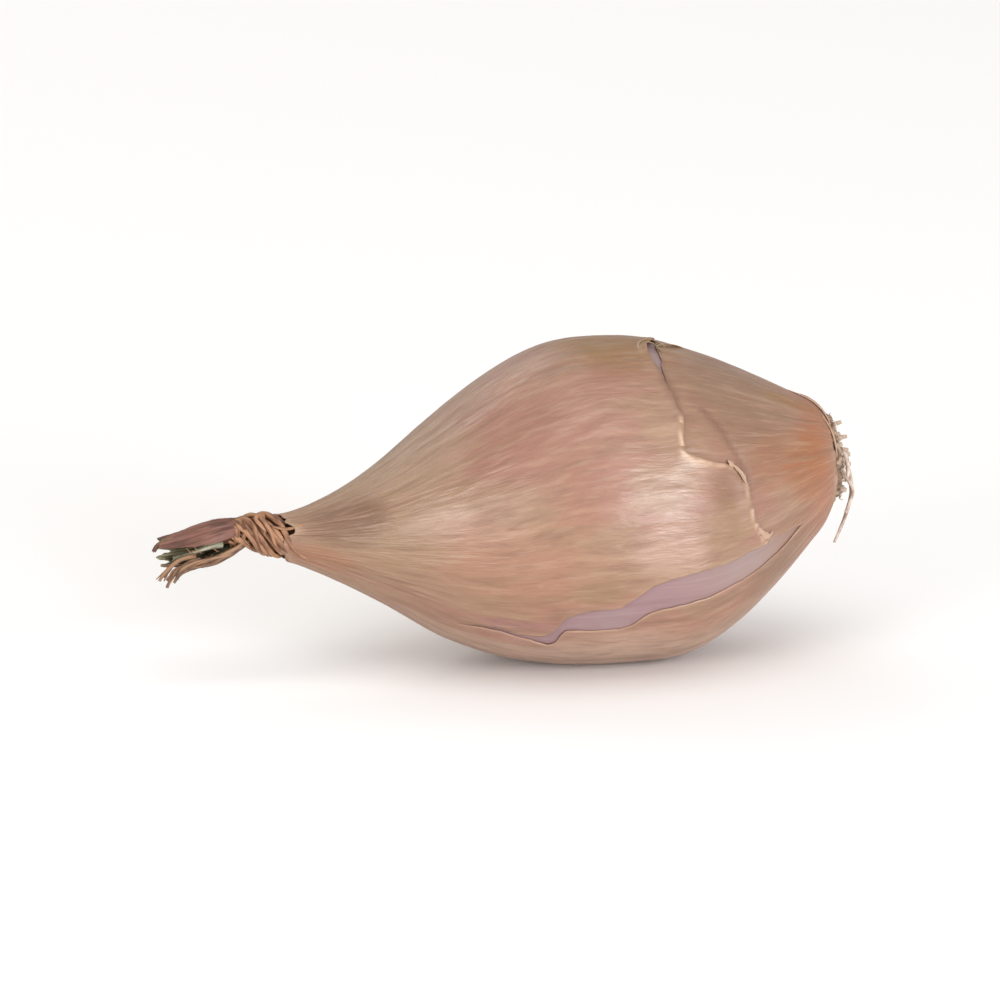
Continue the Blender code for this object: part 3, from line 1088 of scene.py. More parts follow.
@dataclass
class Places:
    """Places on the papery sheet, and what it does at each."""

    along: np.ndarray
    turn: np.ndarray
    side: np.ndarray
    height: np.ndarray | float = 0.0
    torn: np.ndarray | float = 0.0
    # share of painted shade, in the tear's gap and along the crease
    crack: np.ndarray | float = 0.0
    opening: np.ndarray | float = 0.0

    def pale(self, share: np.ndarray) -> None:
        """Makes torn edges at least this pale."""
        self.torn = np.maximum(self.torn, share)


@dataclass
class PaperySkin:
    """Dry outer skin: one thin sheet, split lengthwise and torn across, its lips overlapping.

    Both edges of the split and the crease are (along, turn) points. The tear is (turn, along) points, and
    what goes with it is given by turn too: how far its neck side stands up, overlaps, draws away and is
    paler.
    """

    bulb: Bulb
    finish: Finish = field(default_factory=PaperyFinish)
    start: float = 0.5
    end: float = 62.7
    rows: int = 150
    columns: int = 286
    thickness: float = 0.14
    neck_blend: float = 54.0
    root_blend: float = 5.5
    notch_turn: float = 60.0
    edge_reach: float = 30.0
    closed_gap: float = 0.02
    open_gap: float = 4.0
    upper_edge: StraightLine = StraightLine((
        (5.8, 108.4), (6.6, 106.6), (8.0, 104.4), (10.0, 103.0), (12.0, 102.4), (15.0, 102.4), (18.0, 102.7),
        (21.0, 103.8), (23.0, 105.2), (25.0, 107.2), (26.2, 110.0), (27.3, 113.0), (28.5, 115.8),
        (31.0, 116.4), (33.2, 117.6), (34.8, 121.0), (35.6, 127.5), (36.5, 131.0), (38.0, 132.0),
        (39.4, 131.4), (41.0, 129.7), (43.0, 130.1), (44.5, 133.0), (45.3, 134.6),
    ))
    lower_edge: StraightLine = StraightLine((
        (5.8, 108.4), (6.6, 110.2), (8.0, 112.6), (10.0, 114.2), (12.0, 114.8), (15.0, 115.0), (17.0, 115.1),
        (20.0, 116.0), (22.0, 117.3), (24.0, 118.4), (25.3, 120.0), (26.2, 122.6), (27.3, 125.7),
        (28.5, 127.2), (31.0, 127.6), (33.2, 126.8), (34.5, 127.2), (35.2, 136.0), (36.0, 138.0),
        (37.0, 136.6), (38.0, 135.0), (39.4, 133.8), (41.0, 131.9), (43.0, 132.0), (44.5, 133.9),
        (45.3, 134.6),
    ))
    edge_jag: Ragged = Ragged(11, 0.8, 0.09)
    upper_lift: float = 0.12
    lower_lift: float = 0.03
    tear: StraightLine = StraightLine((
        (-14.0, 18.4), (-9.0, 18.6), (-4.0, 19.0), (5.0, 19.5), (12.0, 19.7), (18.0, 19.9), (24.0, 20.3),
        (30.0, 20.3), (40.0, 20.0), (45.0, 19.8), (50.0, 20.2), (55.0, 20.55), (58.5, 20.6), (60.2, 20.4),
        (61.4, 19.6), (62.6, 18.6), (63.6, 17.6), (64.2, 16.5), (64.8, 15.5), (66.0, 14.7), (68.0, 14.0),
        (71.0, 13.5), (76.0, 13.25), (82.0, 13.2), (88.0, 12.9), (92.0, 12.5), (95.0, 12.2), (99.0, 11.6),
        (102.0, 11.2), (112.0, 10.6),
    ))
    tear_jag: Ragged = Ragged(5, 1.0, 0.13)
    tear_lift: StraightLine = StraightLine((
        (-14.0, 0.0), (-5.0, 0.25), (5.0, 0.34), (18.0, 0.26), (26.0, 0.14), (42.0, 0.16), (46.0, 0.34),
        (59.0, 0.40), (62.0, 0.28), (64.5, 0.18), (67.0, 0.30), (76.0, 0.34), (95.0, 0.36), (102.0, 0.24),
        (112.0, 0.1),
    ))
    tear_overlap: StraightLine = StraightLine((
        (-14.0, 0.0), (42.0, 0.0), (46.0, 0.24), (59.0, 0.28), (65.0, 0.2), (68.0, 0.05), (76.0, 0.22),
        (100.0, 0.28), (112.0, 0.1),
    ))
    tear_opening: StraightLine = StraightLine((
        (-14.0, 0.0), (-8.0, 0.10), (-2.0, 0.40), (5.0, 1.10), (12.0, 1.50), (18.0, 1.20), (23.0, 0.50),
        (28.0, 0.16), (36.0, 0.08), (42.0, 0.04), (45.0, 0.0),
    ))
    tear_pale: StraightLine = StraightLine((
        (-14.0, 0.0), (0.0, 0.2), (18.0, 0.3), (24.0, 0.0), (42.0, 0.05), (46.0, 0.9), (59.0, 1.0),
        (61.0, 0.8), (64.5, 0.7), (68.0, 0.25), (74.0, 0.7), (84.0, 0.8), (100.0, 0.9), (112.0, 0.4),
    ))
    lift_width: float = 1.1
    opening_width: float = 2.2
    tuck: float = 0.14
    tuck_width: float = 2.6
    nearest_corner: float = 0.12
    halvings: int = 18
    crease: Pairs = (
        (17.0, 41.0), (16.4, 44.0), (15.6, 47.0), (15.0, 51.0), (14.3, 57.0), (13.6, 62.5), (13.1, 68.0),
        (12.9, 72.0),
    )
    crease_height: float = 0.14
    crease_width: float = 0.4
    ridge_height: float = 0.10
    dent_depth: float = 0.22
    wrinkle_depth: float = 0.14
    seed: int = 7

    @property
    def tear_start(self) -> float:
        """Turn at which the tear begins, over the top."""
        return self.tear.points[0][0]

    def build(self) -> list[bpy.types.Object]:
        """Makes the torn sheet, then its flakes.

        Returns:
            The pieces.
        """
        along, turn, closed = self._grid()
        neckside = along - self._tear_at(turn) > 0
        faces, lips = self._cut(along, turn, neckside, self._numbers(closed))
        spots = (along.ravel(), turn.ravel(), np.where(neckside, 1.0, -1.0).ravel())
        at = Places(*(np.concatenate(pair) for pair in zip(spots, lips)))
        self._shape_tear(at)
        self._shape_split(at)
        self._shape_crease(at)
        self._shape_rim(at)

        along = at.along + at.opening
        points, grain = self.bulb.point(along, at.turn, at.height), self.bulb.grain(along, at.turn)
        torn, crack = np.clip(at.torn, 0.0, 1.0), np.clip(at.crack, 0.0, 1.0)
        used = np.unique(np.concatenate([np.asarray(f) for f in faces]))
        renumber = np.full(len(points), -1)
        renumber[used] = np.arange(len(used))
        piece = mesh_object(
            "papery_skin_sheet", points[used], [renumber[np.asarray(f)] for f in faces],
            torn=torn[used], crack=crack[used], grain=grain[used],
        )
        self._relief().run(piece)
        solidify(piece, self.thickness)
        return [finished(piece, Slot.PAPERY_SKIN, (), "papery_skin"), *self._flakes()]

    def _grid(self) -> tuple[np.ndarray, np.ndarray, np.ndarray]:
        """Rows along the shallot and columns round it, which follow both edges of the split.

        Returns:
            Along and turn of each grid point, and which rows are closed rings.
        """
        along = np.linspace(self.start, self.end, self.rows)
        upper, lower = self.upper_edge.at(along), self.lower_edge.at(along)
        closed = lower - upper < self.closed_gap
        per_mm = self.bulb.degrees_per_mm(along)
        open_share = np.clip((lower - upper) / self.open_gap, 0.0, 1.0)
        upper = upper + self.edge_jag.at(along) * per_mm * open_share
        lower = lower + self.edge_jag.at(along + 90.0) * per_mm * open_share
        middle, share = (upper + lower) / 2.0, np.linspace(0.0, 1.0, self.columns + 1)
        reach = self.edge_reach / 360.0
        near_lower = np.clip(1.0 - share / reach, 0.0, None) ** 2
        near_upper = np.clip(1.0 - (1.0 - share) / reach, 0.0, None) ** 2
        turn = (
            middle[:, None] - 360.0 + 360.0 * share
            + (lower - middle)[:, None] * near_lower
            + (upper - middle)[:, None] * near_upper
        )
        along = np.broadcast_to(along[:, None], turn.shape)
        neck = np.clip((along - self.neck_blend) / (self.end - self.neck_blend), 0.0, 1.0) ** 3
        root = np.clip((self.root_blend - along) / (self.root_blend - self.start), 0.0, 1.0) ** 3
        return along + neck * self._rim(turn) + root * self._root_rim(turn), turn, closed

    def _rim(self, turn: np.ndarray) -> np.ndarray:
        """How far the skin's ragged neck rim reaches beyond its mean place.

        Args:
            turn: of each place.

        Returns:
            The reach there.
        """
        wave = waves(turn, (0.22, 3.0, 0.7), (0.14, 8.0, 0.0), (0.08, 17.0, 1.0))
        away = away_from(turn, self.notch_turn)
        return wave - 0.85 * bell(away, 12.0) + 0.8 * bell(away - 52.0, 16.0)

    @staticmethod
    def _root_rim(turn: np.ndarray) -> np.ndarray:
        """How far the skin's root rim stays behind its mean place."""
        return waves(turn, (0.18, 5.0, 0.4), (0.12, 11.0, 2.0), (0.08, 23.0, 0.0))

    def _numbers(self, closed: np.ndarray) -> np.ndarray:
        """Vertex numbers of the grid, with both edges welded in closed rows.

        Args:
            closed: which rows are closed rings.

        Returns:
            The numbers by row and column.
        """
        number = np.arange(self.rows * (self.columns + 1)).reshape(self.rows, self.columns + 1)
        number[closed, -1] = number[closed, 0]
        return number

    def _tear_at(self, turn: np.ndarray) -> np.ndarray:
        """How far along the tear is at each turn, jagged but for its first stretch and its bend."""
        rough = np.clip((turn - self.tear_start) / 8.0, 0.0, 1.0) * (1.0 - 0.75 * bell(turn - 52.0, 8.0))
        return self.tear.at(turn) + self.tear_jag.at(turn * 0.3) * rough

    def _cut(
        self, along: np.ndarray, turn: np.ndarray, neckside: np.ndarray, number: np.ndarray
    ) -> tuple[list[Sequence[int]], np.ndarray]:
        """Cuts the grid along the tear.

        Args:
            along: of each grid point.
            turn: of each grid point.
            neckside: whether it lies on the neck's side of the tear.
            number: its vertex number.

        Returns:
            The faces, and along, turn and side of the new vertices on the tear's two lips.
        """
        corners = ((0, 0), (1, 0), (1, 1), (0, 1))

        def at(grid: np.ndarray, corner: GridPoint) -> np.ndarray:
            """Values at one corner of every cell of the grid."""
            i, j = corner
            return grid[i: grid.shape[0] - 1 + i, j: grid.shape[1] - 1 + j]

        def crossing(p: GridPoint, q: GridPoint) -> bool:
            """Whether the tear crosses this edge of the grid."""
            return bool(neckside[p] != neckside[q] and min(turn[p], turn[q]) > self.tear_start)

        def around(ring: Sequence[GridPoint]) -> Iterable[tuple[GridPoint, GridPoint]]:
            """The edges of a cell."""
            return zip(ring, (*ring[1:], ring[0]))

        mixed = np.zeros((self.rows - 1, self.columns), bool)
        for a, b in zip(corners, corners[1:]):
            mixed |= at(neckside, a) != at(neckside, b)
        mixed &= np.maximum(at(turn, (0, 0)), at(turn, (0, 1))) > self.tear_start
        faces = np.stack([at(number, c) for c in corners], axis=-1)[~mixed].tolist()
        cells = [[(int(i + c[0]), int(j + c[1])) for c in corners] for i, j in zip(*np.nonzero(mixed))]
        ends = set()
        for ring in cells:
            sides = [edge for edge in around(ring) if crossing(*edge)]
            if len(sides) == 1:
                ends.add(frozenset(sides[0]))

        lips: dict[frozenset, tuple[int, int]] = {}
        new: list[tuple[float, float, float]] = []

        def lip(p: GridPoint, q: GridPoint) -> tuple[int, int]:
            """Vertices of the tear's neck side and root side on an edge, one and the same at its ends.

            Args:
                p: one end of the edge.
                q: its other end.

            Returns:
                Their numbers.
            """
            key = frozenset((p, q))
            if key not in lips:
                first = number.size + len(new)
                low, high = (p, q) if neckside[q] else (q, p)
                spot = self._on_tear(np.array([along[low], turn[low]]), np.array([along[high], turn[high]]))
                if key in ends:
                    lips[key] = (first, first)
                    new.append((*spot, 0.0))
                else:
                    lips[key] = (first, first + 1)
                    new.extend([(*(spot + self._overlap(spot)), 1.0), (*spot, -1.0)])
            return lips[key]

        for ring in cells:
            neck, root, both, crossed = [], [], [], 0
            for p, q in around(ring):
                vertex = int(number[p])
                (neck if neckside[p] else root).append(vertex)
                both.append(vertex)
                if crossing(p, q):
                    upper, lower = lip(p, q)
                    neck.append(upper)
                    root.append(lower)
                    both.append(upper)
                    crossed += 1
            faces += [neck, root] if crossed == 2 else [both]
        return faces, np.array(new).T

    def _on_tear(self, low: np.ndarray, high: np.ndarray) -> np.ndarray:
        """Where the tear crosses an edge, kept off its corners.

        Args:
            low: along and turn of its end on the root's side.
            high: of its end on the neck's side.

        Returns:
            Along and turn of the crossing.
        """
        near, far = 0.0, 1.0
        for _ in range(self.halvings):
            mid = (near + far) / 2.0
            spot = low + (high - low) * mid
            near, far = (near, mid) if spot[0] > self._tear_at(spot[1]) else (mid, far)
        return low + (high - low) * min(1.0 - self.nearest_corner, max(self.nearest_corner, near))

    def _overlap(self, spot: np.ndarray) -> np.ndarray:
        """Move of the neck side's lip over the root side, square to the tear.

        Args:
            spot: along and turn of a place on the tear.

        Returns:
            The move, along and turn.
        """
        radius = float(self.bulb.radius.at(spot[0]))
        slope = (self._tear_at(spot[1] + 1.0) - self._tear_at(spot[1] - 1.0)) / 2.0
        square = np.array([1.0, -slope * DEGREES / radius])
        square /= np.linalg.norm(square)
        return -float(self.tear_overlap.at(spot[1])) * square * np.array([1.0, DEGREES / radius])

    def _distance(self, line: np.ndarray, at: Places) -> np.ndarray:
        """Distance over the skin from each place to a line.

        Args:
            line: its (along, turn) points.
            at: the sheet's places.

        Returns:
            The distances, worked out near the line alone.
        """
        nowhere_near, reach_along, reach_turn = 99.0, 16.0, 30.0
        near = np.abs(at.along - line[:, 0].mean()) < reach_along
        near &= at.turn > line[:, 1].min() - reach_turn
        a, t = at.along[near], at.turn[near]
        scale = self.bulb.radius.at(a) / DEGREES
        found = np.full(a.shape, nowhere_near)
        for spot in line:
            found = np.minimum(found, np.hypot(a - spot[0], (t - spot[1]) * scale))
        best = np.full(at.along.shape, nowhere_near)
        best[near] = found
        return best

    def _shape_tear(self, at: Places) -> None:
        """Lifts the tear's pale lip, tucks the other one under it, paints shade into the gap and draws its
        top open.

        Args:
            at: the sheet's places, whose relief is set.
        """
        turns = np.arange(self.tear_start, self.tear.points[-1][0], 0.25)
        gap = self._distance(np.stack([self._tear_at(turns), turns], axis=-1), at)
        here, neckside, rootside = at.turn > self.tear_start, at.side > 0, at.side < 0
        lift, pale, over = (v.at(at.turn) * here for v in (self.tear_lift, self.tear_pale, self.tear_opening))
        fade, soft = np.clip(lift / 0.2, 0.0, 1.0), bell(at.turn - 32.0, 9.0)
        at.opening = np.where(neckside, over * bell(gap, self.opening_width), 0.0)
        at.height = np.where(neckside, lift * bell(gap, self.lift_width), 0.0)
        at.height += np.where(rootside, -self.tuck * fade * bell(gap, self.tuck_width), 0.0)
        wide = 0.22 + 0.34 * bell(at.turn - 63.0, 2.2)
        at.torn = np.where(neckside, bell(gap, wide) * pale, 0.0)
        # painted shade along the tear's gap, fainter where its top is drawn open
        shade = bell(gap, 0.32 + 0.34 * soft) * (1.0 - 0.6 * np.clip(over / 0.8, 0.0, 1.0))
        at.crack = shade * np.where(rootside, fade * (0.6 + 0.2 * soft), (0.5 + 0.15 * soft) * (over > 0.0))

    def _shape_split(self, at: Places) -> None:
        """Lifts both edges of the split, and pales them and the root rim.

        Args:
            at: the sheet's places, whose relief is added to.
        """
        radius, upper = self.bulb.radius.at(at.along), self.upper_edge.at(at.along)
        lower = self.lower_edge.at(at.along) - 360.0
        opened = np.clip((lower + 360.0 - upper) / 3.0, 0.0, 1.0)
        from_upper = np.abs(at.turn - upper) * radius / DEGREES
        from_lower = np.abs(at.turn - lower) * radius / DEGREES
        at.height += opened * self.upper_lift * bell(from_upper, 0.9)
        at.height += opened * self.lower_lift * bell(from_lower, 0.8)
        at.pale(opened * bell(from_upper, 0.22) * 0.25)
        at.pale(opened * bell(from_lower, 0.28) * 0.25)
        at.pale(bell(at.along - self.start, 0.4) * 0.6)

    def _shape_crease(self, at: Places) -> None:
        """Presses a crease into the sheet beside the tear and paints shade along it.

        Args:
            at: the sheet's places, whose relief is added to.
        """
        crease, count = np.array(self.crease), len(self.crease)
        steps = np.linspace(0.0, count - 1.0, 80)
        path = np.stack([np.interp(steps, range(count), crease[:, k]) for k in (0, 1)], axis=-1)
        off = self._distance(path, at)
        at.height -= self.crease_height * bell(off, self.crease_width)
        # painted shade along the crease
        at.crack = np.maximum(at.crack, 0.50 * bell(off, 0.45))

    def _shape_rim(self, at: Places) -> None:
        """Bends the neck rim outwards, most at its notch.

        Args:
            at: the sheet's places, whose relief is added to.
        """
        from_rim = np.clip(1.0 - (self.end + self._rim(at.turn) - at.along) / 1.3, 0.0, 1.0) ** 1.5
        at.height += from_rim * (0.10 + 0.34 * bell(away_from(at.turn, self.notch_turn), 24.0))
        at.pale(from_rim * 0.3)

    def _flakes(self) -> list[bpy.types.Object]:
        """Loose bits of skin at the tear: two slivers at its bend, a flap at its end and curls at its top.

        Returns:
            The pieces.
        """
        # (along, turn, height, half width) down the middle of each
        flakes = (
            ((15.2, 62.8, 0.10, 0.10), (15.0, 64.2, 0.24, 0.26), (14.6, 65.6, 0.10, 0.10)),
            ((14.9, 64.6, 0.20, 0.10), (14.5, 66.4, 0.36, 0.22), (14.0, 69.0, 0.40, 0.24),
             (13.5, 73.0, 0.24, 0.08)),
            ((12.3, 93.0, 0.24, 0.10), (11.9, 95.6, 0.30, 0.26), (11.4, 98.2, 0.28, 0.40),
             (10.9, 99.6, 0.18, 0.22), (10.3, 98.4, 0.10, 0.06)),
        )
        curls = (
            ((21.9, 13.0, -0.04, 0.07), (21.8, 8.0, 0.08, 0.14), (21.4, 4.0, 0.18, 0.22),
             (20.6, 1.0, 0.26, 0.26), (19.7, -0.5, 0.22, 0.22), (18.9, 1.0, 0.10, 0.12),
             (18.5, 3.0, -0.05, 0.06)),
            ((21.0, 8.0, -0.04, 0.06), (20.9, 5.5, 0.12, 0.14), (20.4, 4.0, 0.22, 0.18),
             (19.9, 4.5, 0.18, 0.16), (19.5, 7.0, 0.05, 0.10), (19.3, 9.5, -0.06, 0.05)),
            ((19.3, 4.0, -0.04, 0.06), (18.5, 1.5, 0.08, 0.14), (17.6, -0.5, 0.13, 0.18),
             (16.7, -2.5, 0.09, 0.14), (15.6, -5.0, -0.05, 0.05)),
        )
        finish = PaperyFinish(name="skin_flakes_finish", relief=0.05, roughness=0.45)
        olive = PaperyFinish(
            "tuft_finish", (134, 108, 74), (154, 126, 88), patches=(), roughness=0.5, relief=0.05
        )
        return [
            Ribbons(self.bulb, 0.09, 0.55, finish).make("skin_flakes", flakes),
            Ribbons(self.bulb, 0.08, 0.1, olive, tilt=0.5).make("skin_tuft", curls),
        ]

    def _relief(self) -> NodeTool:
        """Makes the tree that raises soft lengthwise ridges, dents and wrinkles on the sheet.

        Returns:
            The tool.
        """
        tool = NodeTool("skin_relief", {
            "Ridge height": ("NodeSocketFloat", self.ridge_height * MM),
            "Dent depth": ("NodeSocketFloat", self.dent_depth * MM),
            "Wrinkle depth": ("NodeSocketFloat", self.wrinkle_depth * MM),
            "Seed": ("NodeSocketInt", self.seed),
            "Material": ("NodeSocketMaterial", self.finish.material()),
        })
        g = tool.graph
        grain = tool.read("grain", "FLOAT_VECTOR")
        wrinkle = skin_wrinkles(g, grain)[1] - 0.5
        seed = tool.named("Seed") * 1.7
        ridge = g.noise(grain, (2.6, 2.6, 30.0), 2.0, seed) - 0.5
        dent = g.noise(grain, (7.0, 7.0, 13.0), 1.0, seed + 3.1) - 0.5
        raised = ridge * tool.named("Ridge height") * 2.0 + dent * tool.named("Dent depth")
        raised = raised - wrinkle * tool.named("Wrinkle depth")
        floor_gap = g.node("ShaderNodeSeparateXYZ", {}, {0: g.node("GeometryNodeInputPosition")}, 2)
        raised = raised * floor_gap.ease(0.0, 2.0 * MM)
        offset = g.scaled(g.node("GeometryNodeInputNormal"), raised)
        tool.close(g.node("GeometryNodeSetPosition", {}, {0: tool.source, "Offset": offset}))
        return tool


# Inner skin


@dataclass
class InnerSkin:
    """Thin skin on the fleshy bulb, which shows through the split."""

    bulb: Bulb
    finish: Finish = field(default_factory=InnerFinish)
    start: float = 1.2
    end: float = 60.0
    rows: int = 110
    columns: int = 170
    depth: float = 0.15
    split_turn: float = 118.0
    split_reach: float = 17.0
    split_blend: float = 10.0
    sink_elsewhere: float = 0.14
    ripple: Ragged = Ragged(3, 2.3, 0.03)
    ripple_seam: float = 20.0

    def build(self) -> list[bpy.types.Object]:
        """Makes the inner skin, a closed shell with a pole at each end, sunk a little where it is covered.

        Returns:
            The piece, in a list.
        """
        along = np.linspace(self.start, self.end, self.rows)[:, None]
        turn = np.linspace(0.0, 360.0, self.columns, endpoint=False)[None, :]
        along, turn = np.broadcast_arrays(along, turn)
        seam = np.clip(np.minimum(turn, 360.0 - turn) / self.ripple_seam, 0.0, 1.0)
        away = np.clip((np.abs(turn - self.split_turn) - self.split_reach) / self.split_blend, 0.0, 1.0)
        away = np.maximum(away, np.clip((3.0 - along) / 2.0, 0.0, 1.0))
        ripple = self.ripple.at((turn - 180.0) * GRAIN_RADIUS / DEGREES) * seam
        height = -self.depth - self.sink_elsewhere * away + ripple
        points = self.bulb.point(along, turn, height)
        poles = np.stack([points[0].mean(axis=0), points[-1].mean(axis=0)])
        number = np.arange(self.rows * self.columns).reshape(self.rows, self.columns)
        faces = sheet_faces(number, wrap=True) + pole_faces(number, number.size)
        grain = self.bulb.grain(along, turn).reshape(-1, 3)
        grain = np.concatenate([grain, [[0.0, 0.0, self.start], [0.0, 0.0, self.end]]])
        piece = mesh_object("inner_skin", np.concatenate([points.reshape(-1, 3), poles]), faces, grain=grain)
        return [finished(piece, Slot.INNER_SKIN, [self.finish.material()], "bulb")]


# Withered neck


@dataclass
class DryNeck:
    """Withered leaf bases: a core, strands wound round it, a curled sheath and a frayed tail."""

    bulb: Bulb
    rise: SmoothLine = SmoothLine((
        (58.4, -0.1), (62.5, 0.2), (65.0, 0.6), (67.2, 1.2), (69.5, 0.9), (72.0, 0.4), (75.5, 0.1),
    ))
    side: SmoothLine = SmoothLine((
        (58.4, 0.0), (62.5, 0.0), (65.3, 0.0), (68.5, 0.0), (72.0, 0.1), (75.5, 0.2),
    ))
    core: SmoothLine = SmoothLine((
        (58.4, 1.3), (59.5, 1.8), (62.5, 1.9), (64.0, 1.9), (67.0, 1.2), (69.5, 0.8),
    ))
    strands: int = 11
    strand_start: float = 62.0
    strand_end: float = 68.6
    strand_flatness: float = 0.85
    strand_width: float = 0.36
    strand_points: int = 48
    winding: SmoothLine = SmoothLine((
        (61.0, 2.4), (62.4, 2.15), (63.4, 2.25), (64.4, 2.15), (65.8, 1.8), (68.6, 1.25),
    ))
    sheath_start: float = 66.4
    sheath_end: float = 76.0
    sheath_thickness: float = 0.22
    sheath_radius: SmoothLine = SmoothLine(((66.4, 1.3), (68.0, 1.7), (70.0, 2.1), (73.0, 2.05), (76.0, 1.5)))
    upper_lip: SmoothLine = SmoothLine(((66.4, 70.0), (69.0, 84.0), (71.0, 84.0), (73.0, 76.0), (76.0, 58.0)))
    lower_lip: SmoothLine = SmoothLine(((66.4, 120.0), (69.0, 148.0), (73.0, 156.0), (76.0, 154.0)))
    curl_thickness: float = 0.16
    loose_fibres: int = 26
    heart: Finish = FibreFinish("neck_core_finish", (104, 66, 44), (60, 34, 22), 3.0, 0.4, 0.8)
    fibre: Finish = FibreFinish("strand_finish", (163, 119, 87), (92, 56, 37), 3.0, 0.2)
    frayed: Finish = FibreFinish("tail_finish", (146, 110, 82), (76, 50, 34), 3.0, 0.18)
    blade: Finish = FibreFinish("sheath_finish", (124, 81, 67), (80, 47, 35), 5.0, 0.3, 0.5)
    lining: Finish = FibreFinish("sheath_lining_finish", (122, 114, 86), (70, 60, 40), 4.0, 0.3, 0.6)
    pale_leaf: Finish = FibreFinish("inner_curl_finish", (168, 164, 140), (116, 112, 88), 3.0, 0.3, 0.55)

    def build(self) -> list[bpy.types.Object]:
        """Makes all pieces of the neck.

        Returns:
            The pieces.
        """
        fibre = self.fibre.material()
        return [
            self._core(), self._collar(fibre), self._sheath(), self._inner_curl(),
            self._tail(self.frayed.material()), self._loose_fibres(fibre),
        ]

    def _at(self, along: Any, turn: Any, radius: Any) -> np.ndarray:
        """Points round the neck's centre line.

        Args:
            along: of each point.
            turn: of each point.
            radius: from the centre line.

        Returns:
            The points.
        """
        along, angle = np.asarray(along, float), np.radians(turn)
        rise, side = self.rise.at(along), self.side.at(along)
        return self.bulb.place(along, rise + radius * np.cos(angle), side + radius * np.sin(angle))

    def _core(self) -> bpy.types.Object:
        """Makes the dark core that fills the collar, a closed fluted tube.

        Returns:
            The piece.
        """
        rows, columns = 30, 40
        along, turn = np.linspace(58.4, 69.5, rows), np.arange(columns) * 360.0 / columns
        a, t = np.meshgrid(along, turn, indexing="ij")
        radius = self.core.at(a) * (1.0 + 0.06 * np.cos(np.radians(9 * t + 33 * a)))
        number = np.arange(rows * columns).reshape(rows, columns)
        faces = sheet_faces(number, wrap=True) + [number[0].tolist(), number[-1, ::-1].tolist()]
        grain = np.stack([np.cos(np.radians(t)) * 2.0, np.sin(np.radians(t)) * 2.0, a], axis=-1)
        points = self._at(a, t, radius).reshape(-1, 3)
        piece = mesh_object("neck_core", points, faces, grain=grain.reshape(-1, 3))
        return finished(piece, Slot.DRY_NECK, [self.heart.material()], "dry_neck")

    def _collar(self, material: bpy.types.Material) -> bpy.types.Object:
        """Strands wound round the core, their first ends under the skin's rim, and a few that cross them.

        Args:
            material: of the strands.

        Returns:
            The piece.
        """
        random, lines, count = np.random.default_rng(21), [], self.strand_points
        for k in range(self.strands):
            along = np.linspace(self.strand_start + random.uniform(-0.3, 0.6), self.strand_end, count)
            along[-1] += random.uniform(-0.6, 0.4)
            share = (along - 60.0) / 9.5
            turn = 360.0 * (k + random.uniform(-0.25, 0.25)) / self.strands - 360.0 * share + 126.0
            turn += Ragged(30 + k, 2.3, 12.0).at(along)
            lift = Ragged(40 + k, 1.7, 0.16).at(along) + random.uniform(-0.16, 0.16)
            points = self._at(along, turn, self.winding.at(along) + lift)
            facing = points - self._at(along, turn, 0.0)
            width = self.strand_width * random.uniform(0.7, 1.25)
            taper = np.clip(np.linspace(0.12, 6.0, count), 0.0, 1.0) ** 0.7
            taper *= np.clip(np.linspace(9.0, 0.5, count), 0.0, 1.0)
            lines.append(Line(points, width * taper, facing))
        # (along, turn, radius) stations of the strands that cross the others, and their half widths
        loops = (
            ((66.9, -20.0, 1.5), (66.2, 2.0, 2.1), (65.3, 28.0, 2.5), (64.6, 60.0, 2.6), (64.1, 96.0, 2.5),
             (63.4, 124.0, 2.3)),
            ((67.6, 10.0, 1.4), (66.8, 30.0, 1.9), (66.2, 58.0, 2.1), (66.0, 92.0, 2.0), (65.4, 130.0, 1.9)),
            ((68.2, -10.0, 1.2), (67.6, 24.0, 1.6), (67.3, 58.0, 1.7), (67.4, 100.0, 1.6),
             (67.9, 140.0, 1.4)),
            ((68.8, 10.0, 1.1), (68.2, 40.0, 1.5), (68.0, 80.0, 1.5), (68.4, 130.0, 1.3)),
            ((64.6, 10.0, 2.2), (65.4, 22.0, 2.7), (65.9, 36.0, 2.6), (65.5, 50.0, 2.5), (64.9, 66.0, 2.3)),
            ((60.9, 52.0, 3.15), (61.8, 57.0, 2.95), (62.8, 58.0, 2.6), (63.9, 52.0, 2.45),
             (65.0, 40.0, 2.2)),
            ((63.1, 40.0, 2.2), (62.8, 70.0, 2.5), (62.4, 96.0, 2.6), (61.6, 116.0, 2.9), (60.6, 128.0, 3.1)),
        )
        for stations, width in zip(loops, (0.30, 0.34, 0.30, 0.34, 0.30, 0.18, 0.32)):
            a, t, r = np.array(stations).T
            points = self._at(a, t, r)
            facing = points.mean(axis=0) - self._at(a, t, 0.0).mean(axis=0)
            lines.append(Line.through(points, width, 0.5, 36, facing))
        piece = Threads(material, self.strand_flatness, 12, 0.12, 4).make("neck_strands", lines)
        return finished(piece, Slot.DRY_NECK, ())

    @staticmethod
    def _leaf(
        name: str, points: np.ndarray, grain: Sequence[Any], thickness: float, *finishes: Finish
    ) -> bpy.types.Object:
        """Thin leaf over a grid of points.

        Args:
            name: the piece's name.
            points: by row and column.
            grain: the fibre's three coordinates at each, or one number for all.
            thickness: of the leaf.
            finishes: of its outside, and of its inside and rim where that is another.

        Returns:
            The piece.
        """
        rows, columns = points.shape[:2]
        faces = sheet_faces(np.arange(rows * columns).reshape(rows, columns))
        grain = np.stack(np.broadcast_arrays(*grain), axis=-1).reshape(-1, 3)
        piece = mesh_object(name, points.reshape(-1, 3), faces, grain=grain)
        solidify(piece, thickness, len(finishes) - 1, len(finishes) - 1)
        return finished(piece, Slot.DRY_NECK, [finish.material() for finish in finishes])

